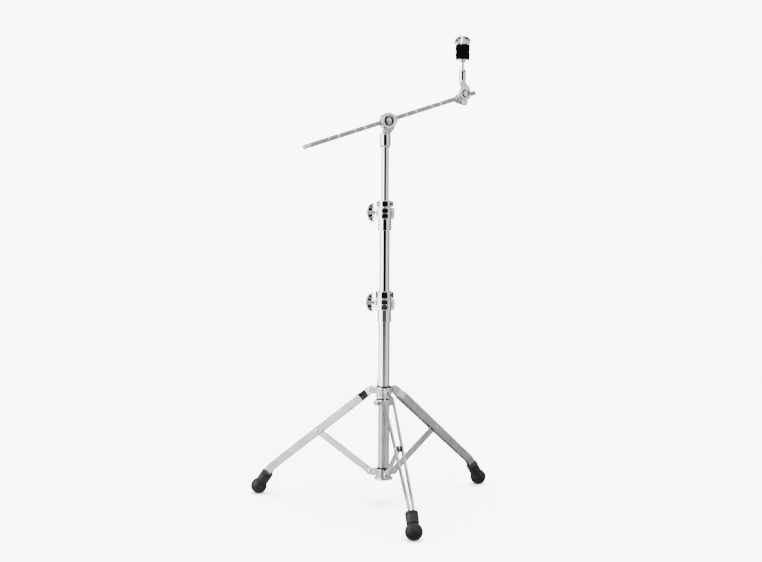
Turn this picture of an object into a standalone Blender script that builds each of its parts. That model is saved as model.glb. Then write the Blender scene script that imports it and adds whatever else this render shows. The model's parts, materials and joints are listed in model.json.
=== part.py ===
"""Double-braced boom stand for a cymbal. Metres, +Z up, the floor at z = 0.

The tripod's front leg points along -Y. Every moving piece hangs under an empty on its joint's axis.
"""
import math
from collections import namedtuple

import bmesh
import bpy
from mathutils import Matrix, Vector

COLLECTION = "cymbal_boom_stand"
GAP = 0.0003                    # air between pieces that touch
EDGE = 0.0010                   # broken edge of a casting
LARGE_STEPS = 24                # facets around a tube or a hub
MEDIUM_STEPS = 18
SMALL_STEPS = 12                # facets around a pin, a bolt or a small ring

# ---------------------------------------------------------------- mast
TUBE_WALL = 0.0012
BASE_TUBE_R = 0.0143
MIDDLE_TUBE_R = 0.0127
UPPER_TUBE_R = 0.00953
BASE_TUBE_ENDS = (0.0640, 0.4975)
MIDDLE_TUBE_ENDS = (0.1300, 0.7265)
UPPER_TUBE_ENDS = (0.4200, 0.9360)

# ---------------------------------------------------------------- legs, feet and braces
LEG_AZIMUTHS = (-90.0, 30.0, 150.0)
LEG_PIVOT_R = 0.0365
LEG_PIVOT_Z = 0.2924
LEG_PITCH = 38.6                # degrees below the horizontal
LEG_STRAIGHT = 0.351            # pivot to the bend above the foot
FOOT_PITCH = 56.0
FOOT_BALL_R = 0.0210
FOOT_BALL_Z = 0.0203            # the ball is cut flat at the floor
FOOT_SLEEVE_R = 0.0155
FOOT_SLEEVE_TOP = 0.047         # above the ball's centre, along the foot
FOOT_SLEEVE_EDGE = 0.0015
FOOT_GROOVE = (0.0158, 0.0175, 0.0190)  # heights of the groove between ball and sleeve
FOOT_GROOVE_DEPTH = 0.0020
FOOT_BALL_START = 47.0          # degrees above the ball's middle where it leaves the groove
POCKET_AIR = 0.0006             # room around the strips' ends in the foot
STRIP_WIDTH = 0.020
STRIP_THICKNESS = 0.003
STRIP_OFFSET_HUB = 0.0038       # strip centre to the leg's middle plane, at the hub lug
STRIP_OFFSET_WIDE = 0.0115
STRIP_OFFSET_FOOT = 0.0050
STRIP_JOGGLE = (0.012, 0.030)   # where the strip steps outwards, from the pivot
STRIP_TAIL = 0.024              # strip end to the ball's centre
BEND_RADIUS = 0.060
BRACE_ON_LEG = 0.183            # leg pivot to brace pivot
BRACE_PIVOT_R = 0.0355
BRACE_PIVOT_Z = 0.0823
BRACE_WIDTH = 0.018
BRACE_THICKNESS = 0.003
PIN_R = 0.0028
PIN_HEAD_R = 0.0050
PIN_HEAD = 0.0017
PIN_HEAD_EDGE = 0.0008
BUSHING_R = 0.0066
DRAIN_HOLE_R = 0.0020           # small hole in each strip, just above the bend
DRAIN_HOLE_ABOVE_BEND = 0.022
THROUGH = 0.020                 # half length of a cutter that goes right through a small piece

# ---------------------------------------------------------------- hubs and leg lock
UPPER_HUB_Z = (0.2740, 0.2992)
UPPER_HUB_R = 0.0205
LOWER_HUB_Z = (0.0650, 0.0918)
LOWER_HUB_R = 0.0190
LOWER_FLANGE_R = 0.0235
LOWER_FLANGE_TOP = 0.0692
LINER_R = 0.0160
LINER_LIP = 0.0016              # the upper liner's lip, proud of its sleeve
LOWER_LINER_FLANGE_R = 0.0169
LOWER_LINER_TOP = 0.0961
UPPER_LINER_FLANGE_R = 0.0183
UPPER_LINER_TOP = 0.3045
LUG_HALF_HEIGHT = 0.0092
LEG_LUG_THICKNESS = 0.0040
BRACE_LUG_THICKNESS = 0.0098
BRACE_SLOT_START = -0.0090      # the slot for the brace, from the brace's pivot outwards
HUB_SCREW_R = 0.0020
HUB_SCREW_Z = 0.0745
LOCK_RING_Z = (0.2552, 0.2705)
LOCK_RING_R = 0.0215
LOCK_RING_EDGE = 0.0015
LEG_LOCK_AZIMUTH = -150.0       # the ear with the leg lock's bolt
LOCK_EAR = (0.0120, 0.0150, 0.0125)
LOCK_EAR_REACH = 0.0220
LOCK_BACK = (0.0080, 0.0110, 0.0125)
LOCK_BACK_REACH = 0.0215
LOCK_SLOT = 0.0016
LOCK_BOLT_REACH = 0.0243
LOCK_BOLT_HALF = 0.0078

# ---------------------------------------------------------------- bolts and wings
KEY_BOLT_R = 0.0020
KEY_HEAD = 0.0046               # across the flats of a square head
KEY_HEAD_HEIGHT = 0.0040
KEY_NUT_R = 0.0032
KEY_NUT_HEIGHT = 0.0022
WING_THICKNESS = 0.0042
WING_CHAMFER = 0.0012
WING_CORNER = 0.0040
WING_RIB_R = (0.0028, 0.0046)   # the rib down a wing's middle, at its tip and at its root
WING_BOSS_R = 0.0052
WING_BOSS_LENGTH = 0.0015

# ---------------------------------------------------------------- height clamps
CLAMP_AZIMUTH = 168.3           # the side that the clamps' wing bolts point to
CLAMP_WING_HALF = 0.0235
CLAMP_WING_DEPTH = 0.0195
CLAMP_STEM_R = 0.0038
CLAMP_EAR_DEPTH = 0.0210
CLAMP_NUT_SLOT = (0.0026, 0.0090, 0.0150)
CLAMP_SEAT_WALL = 0.0025        # thickness of the plastic bushing
MEMORY_EAR_DEPTH = 0.0130
MEMORY_SLOT = 0.0014
MEMORY_BOLT_INSET = 0.0036
MEMORY_BOLT_HALF = 0.0068

# Heights, radii and reaches of one clamp and of the memory lock above it.
Clamp = namedtuple("Clamp", "outer_tube inner_tube bottom shoulder top sleeve_wall boss_r half_width "
                            "wing_z wing_tip wing_flat lock_top lock_r lock_half_width")
LOWER_CLAMP = Clamp(outer_tube=BASE_TUBE_R, inner_tube=MIDDLE_TUBE_R,
                    bottom=0.4680, shoulder=0.4985, top=0.5260,
                    sleeve_wall=0.0032, boss_r=0.0195, half_width=0.0260,
                    wing_z=0.5170, wing_tip=0.0158, wing_flat=0.0280,
                    lock_top=0.5460, lock_r=0.0180, lock_half_width=0.0235)
UPPER_CLAMP = Clamp(outer_tube=MIDDLE_TUBE_R, inner_tube=UPPER_TUBE_R,
                    bottom=0.6990, shoulder=0.7275, top=0.7565,
                    sleeve_wall=0.0038, boss_r=0.0180, half_width=0.0245,
                    wing_z=0.7440, wing_tip=0.0128, wing_flat=0.0268,
                    lock_top=0.7745, lock_r=0.0155, lock_half_width=0.0215)

# ---------------------------------------------------------------- boom and its tilter
BOOM_AZIMUTH = 15.3
BOOM_PITCH = 17.3
BOOM_R = 0.0055
BOOM_AXIS_Z = 0.9725            # where the boom crosses the mast
BOOM_LEFT = -0.224              # horizontal reach from the mast
BOOM_RIGHT = 0.260
BOOM_CAP_LENGTH = 0.020
BOOM_SPIGOT_R = 0.0034
BOOM_SPIGOT_LENGTH = 0.0120
CAP_GROOVE = (0.0035, 0.0042, 0.0052, 0.0059)  # the end cap's groove, from its shoulder
CAP_GROOVE_DEPTH = 0.0007
CAP_EDGE = 0.0012
TILTER_SLEEVE_Z = (0.9076, 0.9390)
TILTER_SLEEVE_R = 0.01375
TILTER_SLEEVE_TOP_R = 0.0110
TILTER_DISC_R = 0.0205
TILTER_DISC_H = (0.0133, 0.0240)  # distances in front of the boom's plane
TILTER_RECESS_R = (0.0135, 0.0150, 0.0185)  # recess floor, its rim and the rim's outer edge
TILTER_RECESS_DEPTH = 0.0020
TILTER_NECK = (                 # height, forward centre, half side and half depth of each section
    (0.9380, 0.0, 0.0128, 0.0128),
    (0.9430, -0.0035, 0.0130, 0.0108),
    (0.9480, -0.0105, 0.0138, 0.0078),
    (0.9535, -0.0181, 0.0155, 0.0046),
    (0.9640, -0.0176, 0.0185, 0.0042),
    (0.9732, -0.0176, 0.0202, 0.0042),
)
HOLDER_R = 0.0090
HOLDER_ENDS = (-0.0135, 0.0310)
HOLDER_DISC_R = 0.0140
HOLDER_DISC_BACK = 0.0060
HOLDER_BOSS_R = 0.0075
HOLDER_BOSS_BACK = 0.0130
HOLDER_LUG = (0.0090, 0.0110, 0.0100)
HOLDER_LUG_PLACE = (0.0255, -0.0075)  # along the boom and across it
HOLDER_SLOT = 0.0014
CAP_NUT_R = 0.0072
CAP_NUT_SHANK_R = 0.0035
BOOM_BOLT_R = 0.0034
BOOM_BOLT_START = 0.0064
BOOM_WING_FLAT = 0.0090
BOOM_WING_HALF = 0.0180
BOOM_WING_DEPTH = 0.0150

# ---------------------------------------------------------------- cymbal tilter and seat
CYMBAL_REACH = 0.222            # post to mast, horizontally
CYMBAL_PIVOT_RISE = 0.0068      # cymbal pivot above the boom's axis
BASE_R = 0.0095
BASE_HALF = 0.0165
BASE_DISC_R = 0.0125
BASE_DISC_BACK = 0.0040
BASE_LUG = (0.0150, 0.0190, 0.0130)
BASE_LUG_DROP = 0.0125
BASE_SLOT = 0.0016
BASE_SLOT_DROP = 0.0155
BASE_BOLT_DROP = 0.0135
BASE_BOLT_START = -0.0097
BASE_WING_FLAT = 0.0222
BASE_WING_HALF = 0.0200
BASE_WING_ROLL = 35.0
BASE_SCREW_R = 0.0021
BASE_SCREW_PLACE = (0.0125, 0.0060)  # along the boom, and above its axis
BASE_SCREW_HEAD = (0.0044, 0.0044, 0.0040)
BASE_SCREW_TIP = 0.0001         # the screw's tip, above its seat
NECK_DISC_R = 0.0170
NECK_DISC_H = (0.0102, 0.0195)
NECK_RECESS_R = (0.0100, 0.0115, 0.0150)
NECK_RECESS_DEPTH = 0.0015
NECK_R = 0.00875
NECK_Z = (1.0800, 1.1125)
NECK_FLARE = (                  # the same four sizes as the tilter neck's, from the cymbal pivot's height
    (-0.0007, -0.0140, 0.0166, 0.0037),
    (0.0070, -0.0140, 0.0160, 0.0037),
    (0.0145, -0.0146, 0.0136, 0.0044),
    (0.0205, -0.0100, 0.0112, 0.0068),
    (0.0265, -0.0035, 0.0094, 0.0088),
)
NECK_TOP_ROUND = (0.0025, 0.0030)  # height and depth of the neck's rounded top
DISC_EDGE = 0.0020
ROD_R = 0.0040
ROD_ENDS = (1.0955, 1.1930)
CUP_Z = (1.1345, 1.1370)
CUP_R = (0.0075, 0.0160, 0.0172)  # the cup's floor, its rim and its widest
CUP_NUT = (0.0065, 0.0078, 0.0055)  # the nut below the cup: bottom and top radius, and height
SLEEVE_R = 0.0058
SLEEVE_FOOT_R = 0.0070
FELT_R = 0.0183
FELT_BORE_R = 0.0073
FELT_ROUND = 0.0022
FELT_SPLIT_Z = 1.1560
FELT_TOP_Z = 1.1750
WING_NUT_TOP_Z = 1.1975
WING_NUT_R = 0.0085
WING_NUT_NECK_R = (0.0040, 0.0062)
WING_NUT_HALF = 0.0220

# ---------------------------------------------------------------- finishes: colour, roughness and metallic
CHROME = ("chrome", (0.86, 0.87, 0.88), 0.08, 1.0)
CAST_CHROME = ("cast_chrome", (0.82, 0.83, 0.84), 0.16, 1.0)
STRIP_STEEL = ("strip_steel", (0.70, 0.71, 0.71), 0.24, 1.0)
KNURLED_STEEL = ("knurled_steel", (0.62, 0.62, 0.62), 0.38, 1.0)
BLACK_STEEL = ("black_steel", (0.08, 0.08, 0.09), 0.35, 1.0)
BLACK_NYLON = ("black_nylon", (0.02, 0.02, 0.02), 0.55, 0.0)
BLACK_RUBBER = ("black_rubber", (0.035, 0.035, 0.037), 0.80, 0.0)
BLACK_FELT = ("black_felt", (0.012, 0.012, 0.014), 0.95, 0.0)


# ---------------------------------------------------------------- scene and placing
def clear_scene():
    for obj in list(bpy.data.objects):
        bpy.data.objects.remove(obj, do_unlink=True)


def new_collection(name):
    collection = bpy.data.collections.new(name)
    bpy.context.scene.collection.children.link(collection)
    return collection


def turn(degrees, axis):
    return Matrix.Rotation(math.radians(degrees), 4, axis)


def along(x=0.0, y=0.0, z=0.0):
    return Matrix.Translation((x, y, z))


def facing(direction, side):
    """A rotation whose local Z is direction and whose local X is side."""
    z_dir = Vector(direction).normalized()
    x_dir = Vector(side).normalized()
    y_dir = z_dir.cross(x_dir)
    return Matrix((x_dir, y_dir, z_dir)).transposed().to_4x4()


def joint_empty(name, parent, local):
    """An empty on a joint's axis, at local in its parent's frame."""
    empty = bpy.data.objects.new(name, None)
    empty.empty_display_size = 0.02
    parts.objects.link(empty)
    empty.parent = parent
    empty.matrix_local = local
    return empty


def add_object(name, mesh, parent, local, finish=None):
    obj = bpy.data.objects.new(name, mesh)
    obj.parent = parent
    obj.matrix_local = local
    if finish is None:
        cutters.objects.link(obj)
        obj.hide_render = True
        obj.display_type = "WIRE"
    else:
        parts.objects.link(obj)
        mesh.materials.append(material(*finish))
    return obj


def material(name, colour, roughness, metallic):
    found = bpy.data.materials.get(name)
    if found:
        return found
    made = bpy.data.materials.new(name)
    made.use_nodes = True
    shader = made.node_tree.nodes["Principled BSDF"]
    shader.inputs["Base Color"].default_value = (*colour, 1.0)
    shader.inputs["Roughness"].default_value = roughness
    shader.inputs["Metallic"].default_value = metallic
    made.diffuse_color = (*colour, 1.0)
    return made


# ---------------------------------------------------------------- shapes
def turned(name, profile, parent, local, finish=None, steps=LARGE_STEPS):
    """A turned piece: (radius, height) points, down the outer side. A closed ring if none is on the axis."""
    work = bmesh.new()
    verts = [work.verts.new((radius, 0.0, height)) for radius, height in profile]
    for start, end in zip(verts, verts[1:]):
        work.edges.new((start, end))
    if profile[0][0] > 0.0:
        work.edges.new((verts[-1], verts[0]))
    mesh = bpy.data.meshes.new(name)
    work.to_mesh(mesh)
    work.free()
    obj = add_object(name, mesh, parent, local, finish)
    screw = obj.modifiers.new("Turn", "SCREW")
    screw.steps = steps
    screw.render_steps = steps
    screw.use_merge_vertices = True
    screw.merge_threshold = 0.00001
    screw.use_smooth_shade = True
    return obj


def ring(name, inner, outer, bottom, top, parent, finish):
    """A plain round sleeve about the parent's Z."""
    profile = [(inner, top), (outer, top), (outer, bottom), (inner, bottom)]
    return turned(name, profile, parent, Matrix(), finish)


def round_block(name, radius, bottom, top, parent, finish, chamfer):
    """A solid round piece about the parent's Z, ready to be bored."""
    profile = [(0.0, top), (radius - chamfer, top), (radius, top - chamfer),
               (radius, bottom + chamfer), (radius - chamfer, bottom), (0.0, bottom)]
    return turned(name, profile, parent, Matrix(), finish)


def bar(name, radius, start, end, parent, local, finish=None, steps=SMALL_STEPS):
    """A solid round bar along local Z."""
    work = bmesh.new()
    placed = along(z=(start + end) / 2)
    bmesh.ops.create_cone(work, cap_ends=True, segments=steps, radius1=radius, radius2=radius,
                          depth=end - start, matrix=placed)
    mesh = bpy.data.meshes.new(name)
    work.to_mesh(mesh)
    work.free()
    mesh.shade_smooth()
    mesh.set_sharp_from_angle(angle=math.radians(40))
    return add_object(name, mesh, parent, local, finish)


def block(name, size, parent, local, finish=None, rounding=0.0):
    """A box centred on local, its edges rounded by a Bevel."""
    work = bmesh.new()
    bmesh.ops.create_cube(work, size=1.0)
    bmesh.ops.scale(work, vec=Vector(size), verts=work.verts)
    mesh = bpy.data.meshes.new(name)
    work.to_mesh(mesh)
    work.free()
    obj = add_object(name, mesh, parent, local, finish)
    if rounding:
        bevel = obj.modifiers.new("Rounded edges", "BEVEL")
        bevel.width = rounding
        bevel.segments = 2
    return obj


def welded_mesh(curve_object):
    """The mesh of a filled curve, with its loose caps welded on, so that it can be cut."""
    depsgraph = bpy.context.evaluated_depsgraph_get()
    mesh = bpy.data.meshes.new_from_object(curve_object.evaluated_get(depsgraph))
    work = bmesh.new()
    work.from_mesh(mesh)
    bmesh.ops.remove_doubles(work, verts=work.verts, dist=0.00001)
    bmesh.ops.dissolve_limit(work, angle_limit=math.radians(1), verts=work.verts, edges=work.edges)
    work.to_mesh(mesh)
    work.free()
    return mesh


def plate(name, outline, thickness, parent, local, finish=None, chamfer=0.0):
    """A flat plate in the local XZ plane, centred on it. Its outline is a filled curve."""
    curve = bpy.data.curves.new(name, "CURVE")
    curve.dimensions = "2D"
    curve.fill_mode = "BOTH"
    curve.extrude = thickness / 2
    spline = curve.splines.new("POLY")
    spline.points.add(len(outline) - 1)
    for point, (x, z) in zip(spline.points, outline):
        point.co = (x, z, 0.0, 1.0)
    spline.use_cyclic_u = True
    drawn = bpy.data.objects.new(name + "_outline", curve)
    parts.objects.link(drawn)
    drawn.parent = parent
    drawn.matrix_local = local @ turn(90, "X")
    bpy.context.view_layer.update()
    obj = add_object(name, welded_mesh(drawn), parent, local, finish)
    obj.matrix_world = drawn.matrix_world
    bpy.data.objects.remove(drawn, do_unlink=True)
    bpy.data.curves.remove(curve)
    if chamfer:
        bevel = obj.modifiers.new("Chamfer", "BEVEL")
        bevel.width = chamfer
        bevel.segments = 1
        bevel.limit_method = "ANGLE"
        bevel.angle_limit = math.radians(60)
    return obj


def ribbon(name, stations, parent, local, finish):
    """A flat strip along stations of (centre x, centre z, pitch, half width, side offset)."""
    work = bmesh.new()
    rows = []
    for x, z, pitch, half, side in stations:
        normal = Vector((math.sin(pitch), 0.0, math.cos(pitch)))
        centre = Vector((x, side, z))
        rows.append((work.verts.new(centre - normal * half), work.verts.new(centre + normal * half)))
    for (low, high), (next_low, next_high) in zip(rows, rows[1:]):
        work.faces.new((low, next_low, next_high, high))
    mesh = bpy.data.meshes.new(name)
    work.to_mesh(mesh)
    work.free()
    obj = add_object(name, mesh, parent, local, finish)
    solid = obj.modifiers.new("Thickness", "SOLIDIFY")
    solid.thickness = STRIP_THICKNESS
    solid.offset = 0.0
    solid.use_even_offset = True
    return obj


def loft(name, sections, parent, local, finish=None, points=20):
    """A closed body through level oval sections of (height, forward centre, half side, half depth)."""
    work = bmesh.new()
    loops = []
    for height, forward, half_side, half_depth in sections:
        angles = [2 * math.pi * k / points for k in range(points)]
        loops.append([work.verts.new((half_side * math.cos(a), forward + half_depth * math.sin(a), height))
                      for a in angles])
    for lower, upper in zip(loops, loops[1:]):
        for k in range(points):
            following = (k + 1) % points
            work.faces.new((lower[k], lower[following], upper[following], upper[k]))
    work.faces.new(list(reversed(loops[0])))
    work.faces.new(loops[-1])
    bmesh.ops.recalc_face_normals(work, faces=work.faces)
    mesh = bpy.data.meshes.new(name)
    work.to_mesh(mesh)
    work.free()
    mesh.shade_smooth()
    mesh.set_sharp_from_angle(angle=math.radians(40))
    return add_object(name, mesh, parent, local, finish)


def combine(obj, tool, operation):
    boolean = obj.modifiers.new(tool.name, "BOOLEAN")
    boolean.object = tool
    boolean.operation = operation
    boolean.solver = "EXACT"


def join(obj, *tools):
    for tool in tools:
        combine(obj, tool, "UNION")


def cut(obj, *tools):
    for tool in tools:
        combine(obj, tool, "DIFFERENCE")


# ---------------------------------------------------------------- small shared pieces
def rivet(name, half_length, parent, local):
    """A two-headed pin along local Z, centred on it."""
    tip = half_length + PIN_HEAD
    half = [(0.0, tip), (PIN_HEAD_R - PIN_HEAD_EDGE, tip), (PIN_HEAD_R, tip - PIN_HEAD_EDGE),
            (PIN_HEAD_R, half_length), (PIN_R, half_length)]
    mirrored = [(radius, -height) for radius, height in reversed(half)]
    return turned(name, half + mirrored, parent, local, CHROME, SMALL_STEPS)


def wing_outline(half_length, flat, depth, arc_steps=10):
    """A half-moon: a flat side at height flat with round corners, and a half ellipse depth above it."""
    outline = []
    for k in range(arc_steps + 1):
        angle = math.pi * k / arc_steps
        outline.append((half_length * math.cos(angle),
                        flat + WING_CORNER + (depth - WING_CORNER) * math.sin(angle)))
    inset = WING_CORNER * (1 - math.sqrt(0.5))
    for side, corner_first in ((-1, False), (1, True)):
        corner = [(side * (half_length - inset), flat + inset), (side * (half_length - WING_CORNER), flat)]
        outline += reversed(corner) if corner_first else corner
    return outline


def wing_screw(name, stem_radius, flat, half_length, depth, parent, roll=0.0):
    """A bolt along its joint's axis, outwards from it, with a half-moon wing and a rib down its middle."""
    tip = flat + depth
    rib_tip, rib_root = WING_RIB_R
    root = flat + 2 * WING_BOSS_LENGTH
    shoulder = flat - WING_BOSS_LENGTH
    profile = [(0.0, tip + GAP), (rib_tip, tip), (rib_root, root), (WING_BOSS_R, flat - GAP),
               (WING_BOSS_R, shoulder), (stem_radius, shoulder), (stem_radius, 0.0), (0.0, 0.0)]
    bolt = turned(name, profile, parent, Matrix(), CHROME, SMALL_STEPS)
    outline = wing_outline(half_length, flat, depth)
    wing = plate(name + "_wing", outline, WING_THICKNESS, parent, turn(roll, "Z"), chamfer=WING_CHAMFER)
    join(bolt, wing)


def key_bolt(name, half_length, parent, local):
    """A square-headed bolt and its nut along local Z, centred on it."""
    nut_bottom = -half_length - KEY_NUT_HEIGHT
    bolt = bar(name, KEY_BOLT_R, -half_length, half_length + KEY_BOLT_R / 2, parent, local, BLACK_STEEL)
    head_place = local @ along(z=half_length + KEY_HEAD_HEIGHT / 2)
    head = block(name + "_head", (KEY_HEAD, KEY_HEAD, KEY_HEAD_HEIGHT), parent, head_place)
    nut = bar(name + "_nut", KEY_NUT_R, nut_bottom, -half_length, parent, local, steps=6)
    join(bolt, head, nut)


def split(body, width, start, end, parent, frame):
    """Saws a slot through a clamping ring, from start to end along the frame's X."""
    size = (end - start, width, 2 * THROUGH)
    cut(body, block(body.name + "_split", size, parent, frame @ along(x=(start + end) / 2)))


# ---------------------------------------------------------------- hubs
def sector(index):
    """The frame of one leg: local X runs outwards, Z up and Y across the leg."""
    return turn(LEG_AZIMUTHS[index], "Z")


def across():
    """Local Z across the leg's plane."""
    return turn(-90, "X")


def lug_outline(root, pivot_r, pivot_z, arc_steps=6):
    """A lug that is square at its root and round about its pivot."""
    outline = [(root, pivot_z - LUG_HALF_HEIGHT)]
    for k in range(arc_steps + 1):
        angle = -math.pi / 2 + math.pi * k / arc_steps
        outline.append((pivot_r + LUG_HALF_HEIGHT * math.cos(angle),
                        pivot_z + LUG_HALF_HEIGHT * math.sin(angle)))
    outline.append((root, pivot_z + LUG_HALF_HEIGHT))
    return outline


def hub_lugs(hub, parent, hub_r, pivot_r, pivot_z, thickness):
    """Three lugs around a hub, rooted in the middle of its wall and drilled for their pins."""
    root = (LINER_R + GAP + hub_r) / 2
    for index in range(3):
        frame = sector(index)
        tag = f"{hub.name}_{index + 1}"
        join(hub, plate(tag + "_lug", lug_outline(root, pivot_r, pivot_z), thickness, parent, frame))
        place = frame @ along(pivot_r, 0.0, pivot_z) @ across()
        cut(hub, bar(tag + "_hole", PIN_R + GAP, -thickness, thickness, parent, place))


def brace_slots(hub, parent):
    """The slot in each lug of the lower hub that its brace swings in."""
    size = (2 * THROUGH, BRACE_THICKNESS + 2 * GAP, 2 * THROUGH)
    for index in range(3):
        place = sector(index) @ along(BRACE_PIVOT_R + BRACE_SLOT_START + THROUGH, 0.0, BRACE_PIVOT_Z)
        cut(hub, block(f"{hub.name}_{index + 1}_slot", size, parent, place))


def liner(name, flange_r, flange, bottom, parent, lip_top=None):
    """A plastic sleeve on the base tube: a flange above its hub and, if asked for, a lip below it."""
    inner = BASE_TUBE_R + GAP
    low, high = flange
    profile = [(inner, high), (flange_r, high), (flange_r, low), (LINER_R, low)]
    if lip_top:
        profile += [(LINER_R, lip_top), (LINER_R + LINER_LIP, lip_top), (LINER_R + LINER_LIP, bottom)]
    else:
        profile.append((LINER_R, bottom))
    profile.append((inner, bottom))
    turned(name, profile, parent, Matrix(), BLACK_NYLON)


def hub_screw(hub, mast):
    """The set screw at the back of the lower hub."""
    place = turn(90, "Z") @ along(z=HUB_SCREW_Z) @ turn(90, "Y")
    cut(hub, bar("lower_hub_screw_hole", HUB_SCREW_R + GAP, LINER_R - EDGE, LOWER_FLANGE_R, mast, place))
    bar("lower_hub_screw", HUB_SCREW_R, LINER_R + 2 * GAP, LOWER_HUB_R + HUB_SCREW_R, mast, place,
        BLACK_STEEL)


def lower_hub(mast):
    bore = LINER_R + GAP
    bottom, top = LOWER_HUB_Z
    profile = [(bore, top), (LOWER_HUB_R - EDGE, top), (LOWER_HUB_R, top - EDGE),
               (LOWER_HUB_R, LOWER_FLANGE_TOP), (LOWER_FLANGE_R, LOWER_FLANGE_TOP),
               (LOWER_FLANGE_R, bottom + EDGE), (LOWER_FLANGE_R - EDGE, bottom), (bore, bottom)]
    hub = turned("lower_hub", profile, mast, Matrix(), CAST_CHROME)
    hub_lugs(hub, mast, LOWER_HUB_R, BRACE_PIVOT_R, BRACE_PIVOT_Z, BRACE_LUG_THICKNESS)
    brace_slots(hub, mast)
    hub_screw(hub, mast)
    liner("lower_hub_liner", LOWER_LINER_FLANGE_R, (top + GAP, LOWER_LINER_TOP), bottom + GAP, mast)
    for index in range(3):
        place = sector(index) @ along(BRACE_PIVOT_R, 0.0, BRACE_PIVOT_Z) @ across()
        rivet(f"brace_pin_{index + 1}", BRACE_LUG_THICKNESS / 2 + GAP, mast, place)


def upper_hub(slider):
    bottom, top = UPPER_HUB_Z
    bore = LINER_R + GAP
    profile = [(bore, top), (UPPER_HUB_R - EDGE, top), (UPPER_HUB_R, top - EDGE),
               (UPPER_HUB_R, bottom + EDGE), (UPPER_HUB_R - EDGE, bottom), (bore, bottom)]
    hub = turned("upper_hub", profile, slider, Matrix(), CAST_CHROME)
    hub_lugs(hub, slider, UPPER_HUB_R, LEG_PIVOT_R, LEG_PIVOT_Z, LEG_LUG_THICKNESS)
    liner("upper_hub_liner", UPPER_LINER_FLANGE_R, (top + GAP, UPPER_LINER_TOP), LOCK_RING_Z[1] + GAP, slider,
          lip_top=bottom - GAP)
    for index in range(3):
        place = sector(index) @ along(LEG_PIVOT_R, 0.0, LEG_PIVOT_Z) @ across()
        rivet(f"leg_pin_{index + 1}", STRIP_OFFSET_HUB + STRIP_THICKNESS / 2 + GAP, slider, place)


def leg_lock(slider):
    """The split ring under the hub that grips the base tube, with its bolt at the front left."""
    bottom, top = LOCK_RING_Z
    inner = BASE_TUBE_R + GAP
    clamp = round_block("leg_lock_ring", LOCK_RING_R, bottom, top, slider, CAST_CHROME, LOCK_RING_EDGE)
    frame = turn(LEG_LOCK_AZIMUTH, "Z") @ along(z=(bottom + top) / 2)
    ear = block("leg_lock_ear", LOCK_EAR, slider, frame @ along(x=LOCK_EAR_REACH), rounding=EDGE)
    back = block("leg_lock_back", LOCK_BACK, slider, frame @ along(x=-LOCK_BACK_REACH), rounding=EDGE)
    join(clamp, ear, back)
    cut(clamp, bar("leg_lock_bore", inner, -THROUGH, THROUGH, slider, frame, steps=LARGE_STEPS))
    split(clamp, LOCK_SLOT, inner - EDGE, LOCK_EAR_REACH + LOCK_EAR[0], slider, frame)
    bolt_place = frame @ along(x=LOCK_BOLT_REACH) @ turn(90, "X")
    cut(clamp, bar("leg_lock_bolt_hole", KEY_BOLT_R + GAP, -THROUGH, THROUGH, slider, bolt_place))
    key_bolt("leg_lock_bolt", LOCK_BOLT_HALF, slider, bolt_place)


# ---------------------------------------------------------------- legs and braces
def pitch_direction(pitch):
    return Vector((math.cos(pitch), 0.0, -math.sin(pitch)))


def strip_offset(distance):
    """How far a strip's middle is from the leg's middle plane, at a distance from the pivot."""
    start, end = STRIP_JOGGLE
    sleeve = LEG_STRAIGHT + STRIP_TAIL
    if distance <= start:
        return STRIP_OFFSET_HUB
    if distance <= end:
        share = (distance - start) / (end - start)
        return STRIP_OFFSET_HUB + share * (STRIP_OFFSET_WIDE - STRIP_OFFSET_HUB)
    share = min((distance - end) / (sleeve - end), 1.0)
    return STRIP_OFFSET_WIDE + share * (STRIP_OFFSET_FOOT - STRIP_OFFSET_WIDE)


def foot_reach():
    """Bend to ball centre, along the foot."""
    bend_z = LEG_PIVOT_Z - LEG_STRAIGHT * math.sin(math.radians(LEG_PITCH))
    return (bend_z - FOOT_BALL_Z) / math.sin(math.radians(FOOT_PITCH))


def foot_centre():
    """The ball's centre in the leg's frame, whose origin is the leg pivot."""
    bend = pitch_direction(math.radians(LEG_PITCH)) * LEG_STRAIGHT
    return bend + pitch_direction(math.radians(FOOT_PITCH)) * foot_reach()


def strip_stations(side, bend_steps=3):
    """Stations along one leg strip: round end, joggle, straight, bend and the tail in the foot."""
    pitch, foot_pitch = math.radians(LEG_PITCH), math.radians(FOOT_PITCH)
    half = STRIP_WIDTH / 2
    straight = pitch_direction(pitch)
    stations = []
    for degrees in (15, 35, 60, 90):
        angle = math.radians(degrees)
        stations.append((straight * (-half * math.cos(angle)), pitch, half * math.sin(angle), 0.0))
    tangent = BEND_RADIUS * math.tan((foot_pitch - pitch) / 2)
    bend_start = LEG_STRAIGHT - tangent
    for distance in (*STRIP_JOGGLE, bend_start):
        stations.append((straight * distance, pitch, half, distance))
    centre = straight * bend_start - Vector((math.sin(pitch), 0.0, math.cos(pitch))) * BEND_RADIUS
    for step in range(1, bend_steps + 1):
        share = step / bend_steps
        turned_to = pitch + (foot_pitch - pitch) * share
        outward = Vector((math.sin(turned_to), 0.0, math.cos(turned_to)))
        stations.append((centre + outward * BEND_RADIUS, turned_to, half, bend_start + 2 * tangent * share))
    end = foot_centre() - pitch_direction(foot_pitch) * STRIP_TAIL
    stations.append((end, foot_pitch, half, LEG_STRAIGHT + foot_reach() - STRIP_TAIL))
    return [(point.x, point.z, angle, width, side * strip_offset(distance))
            for point, angle, width, distance in stations]


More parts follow.
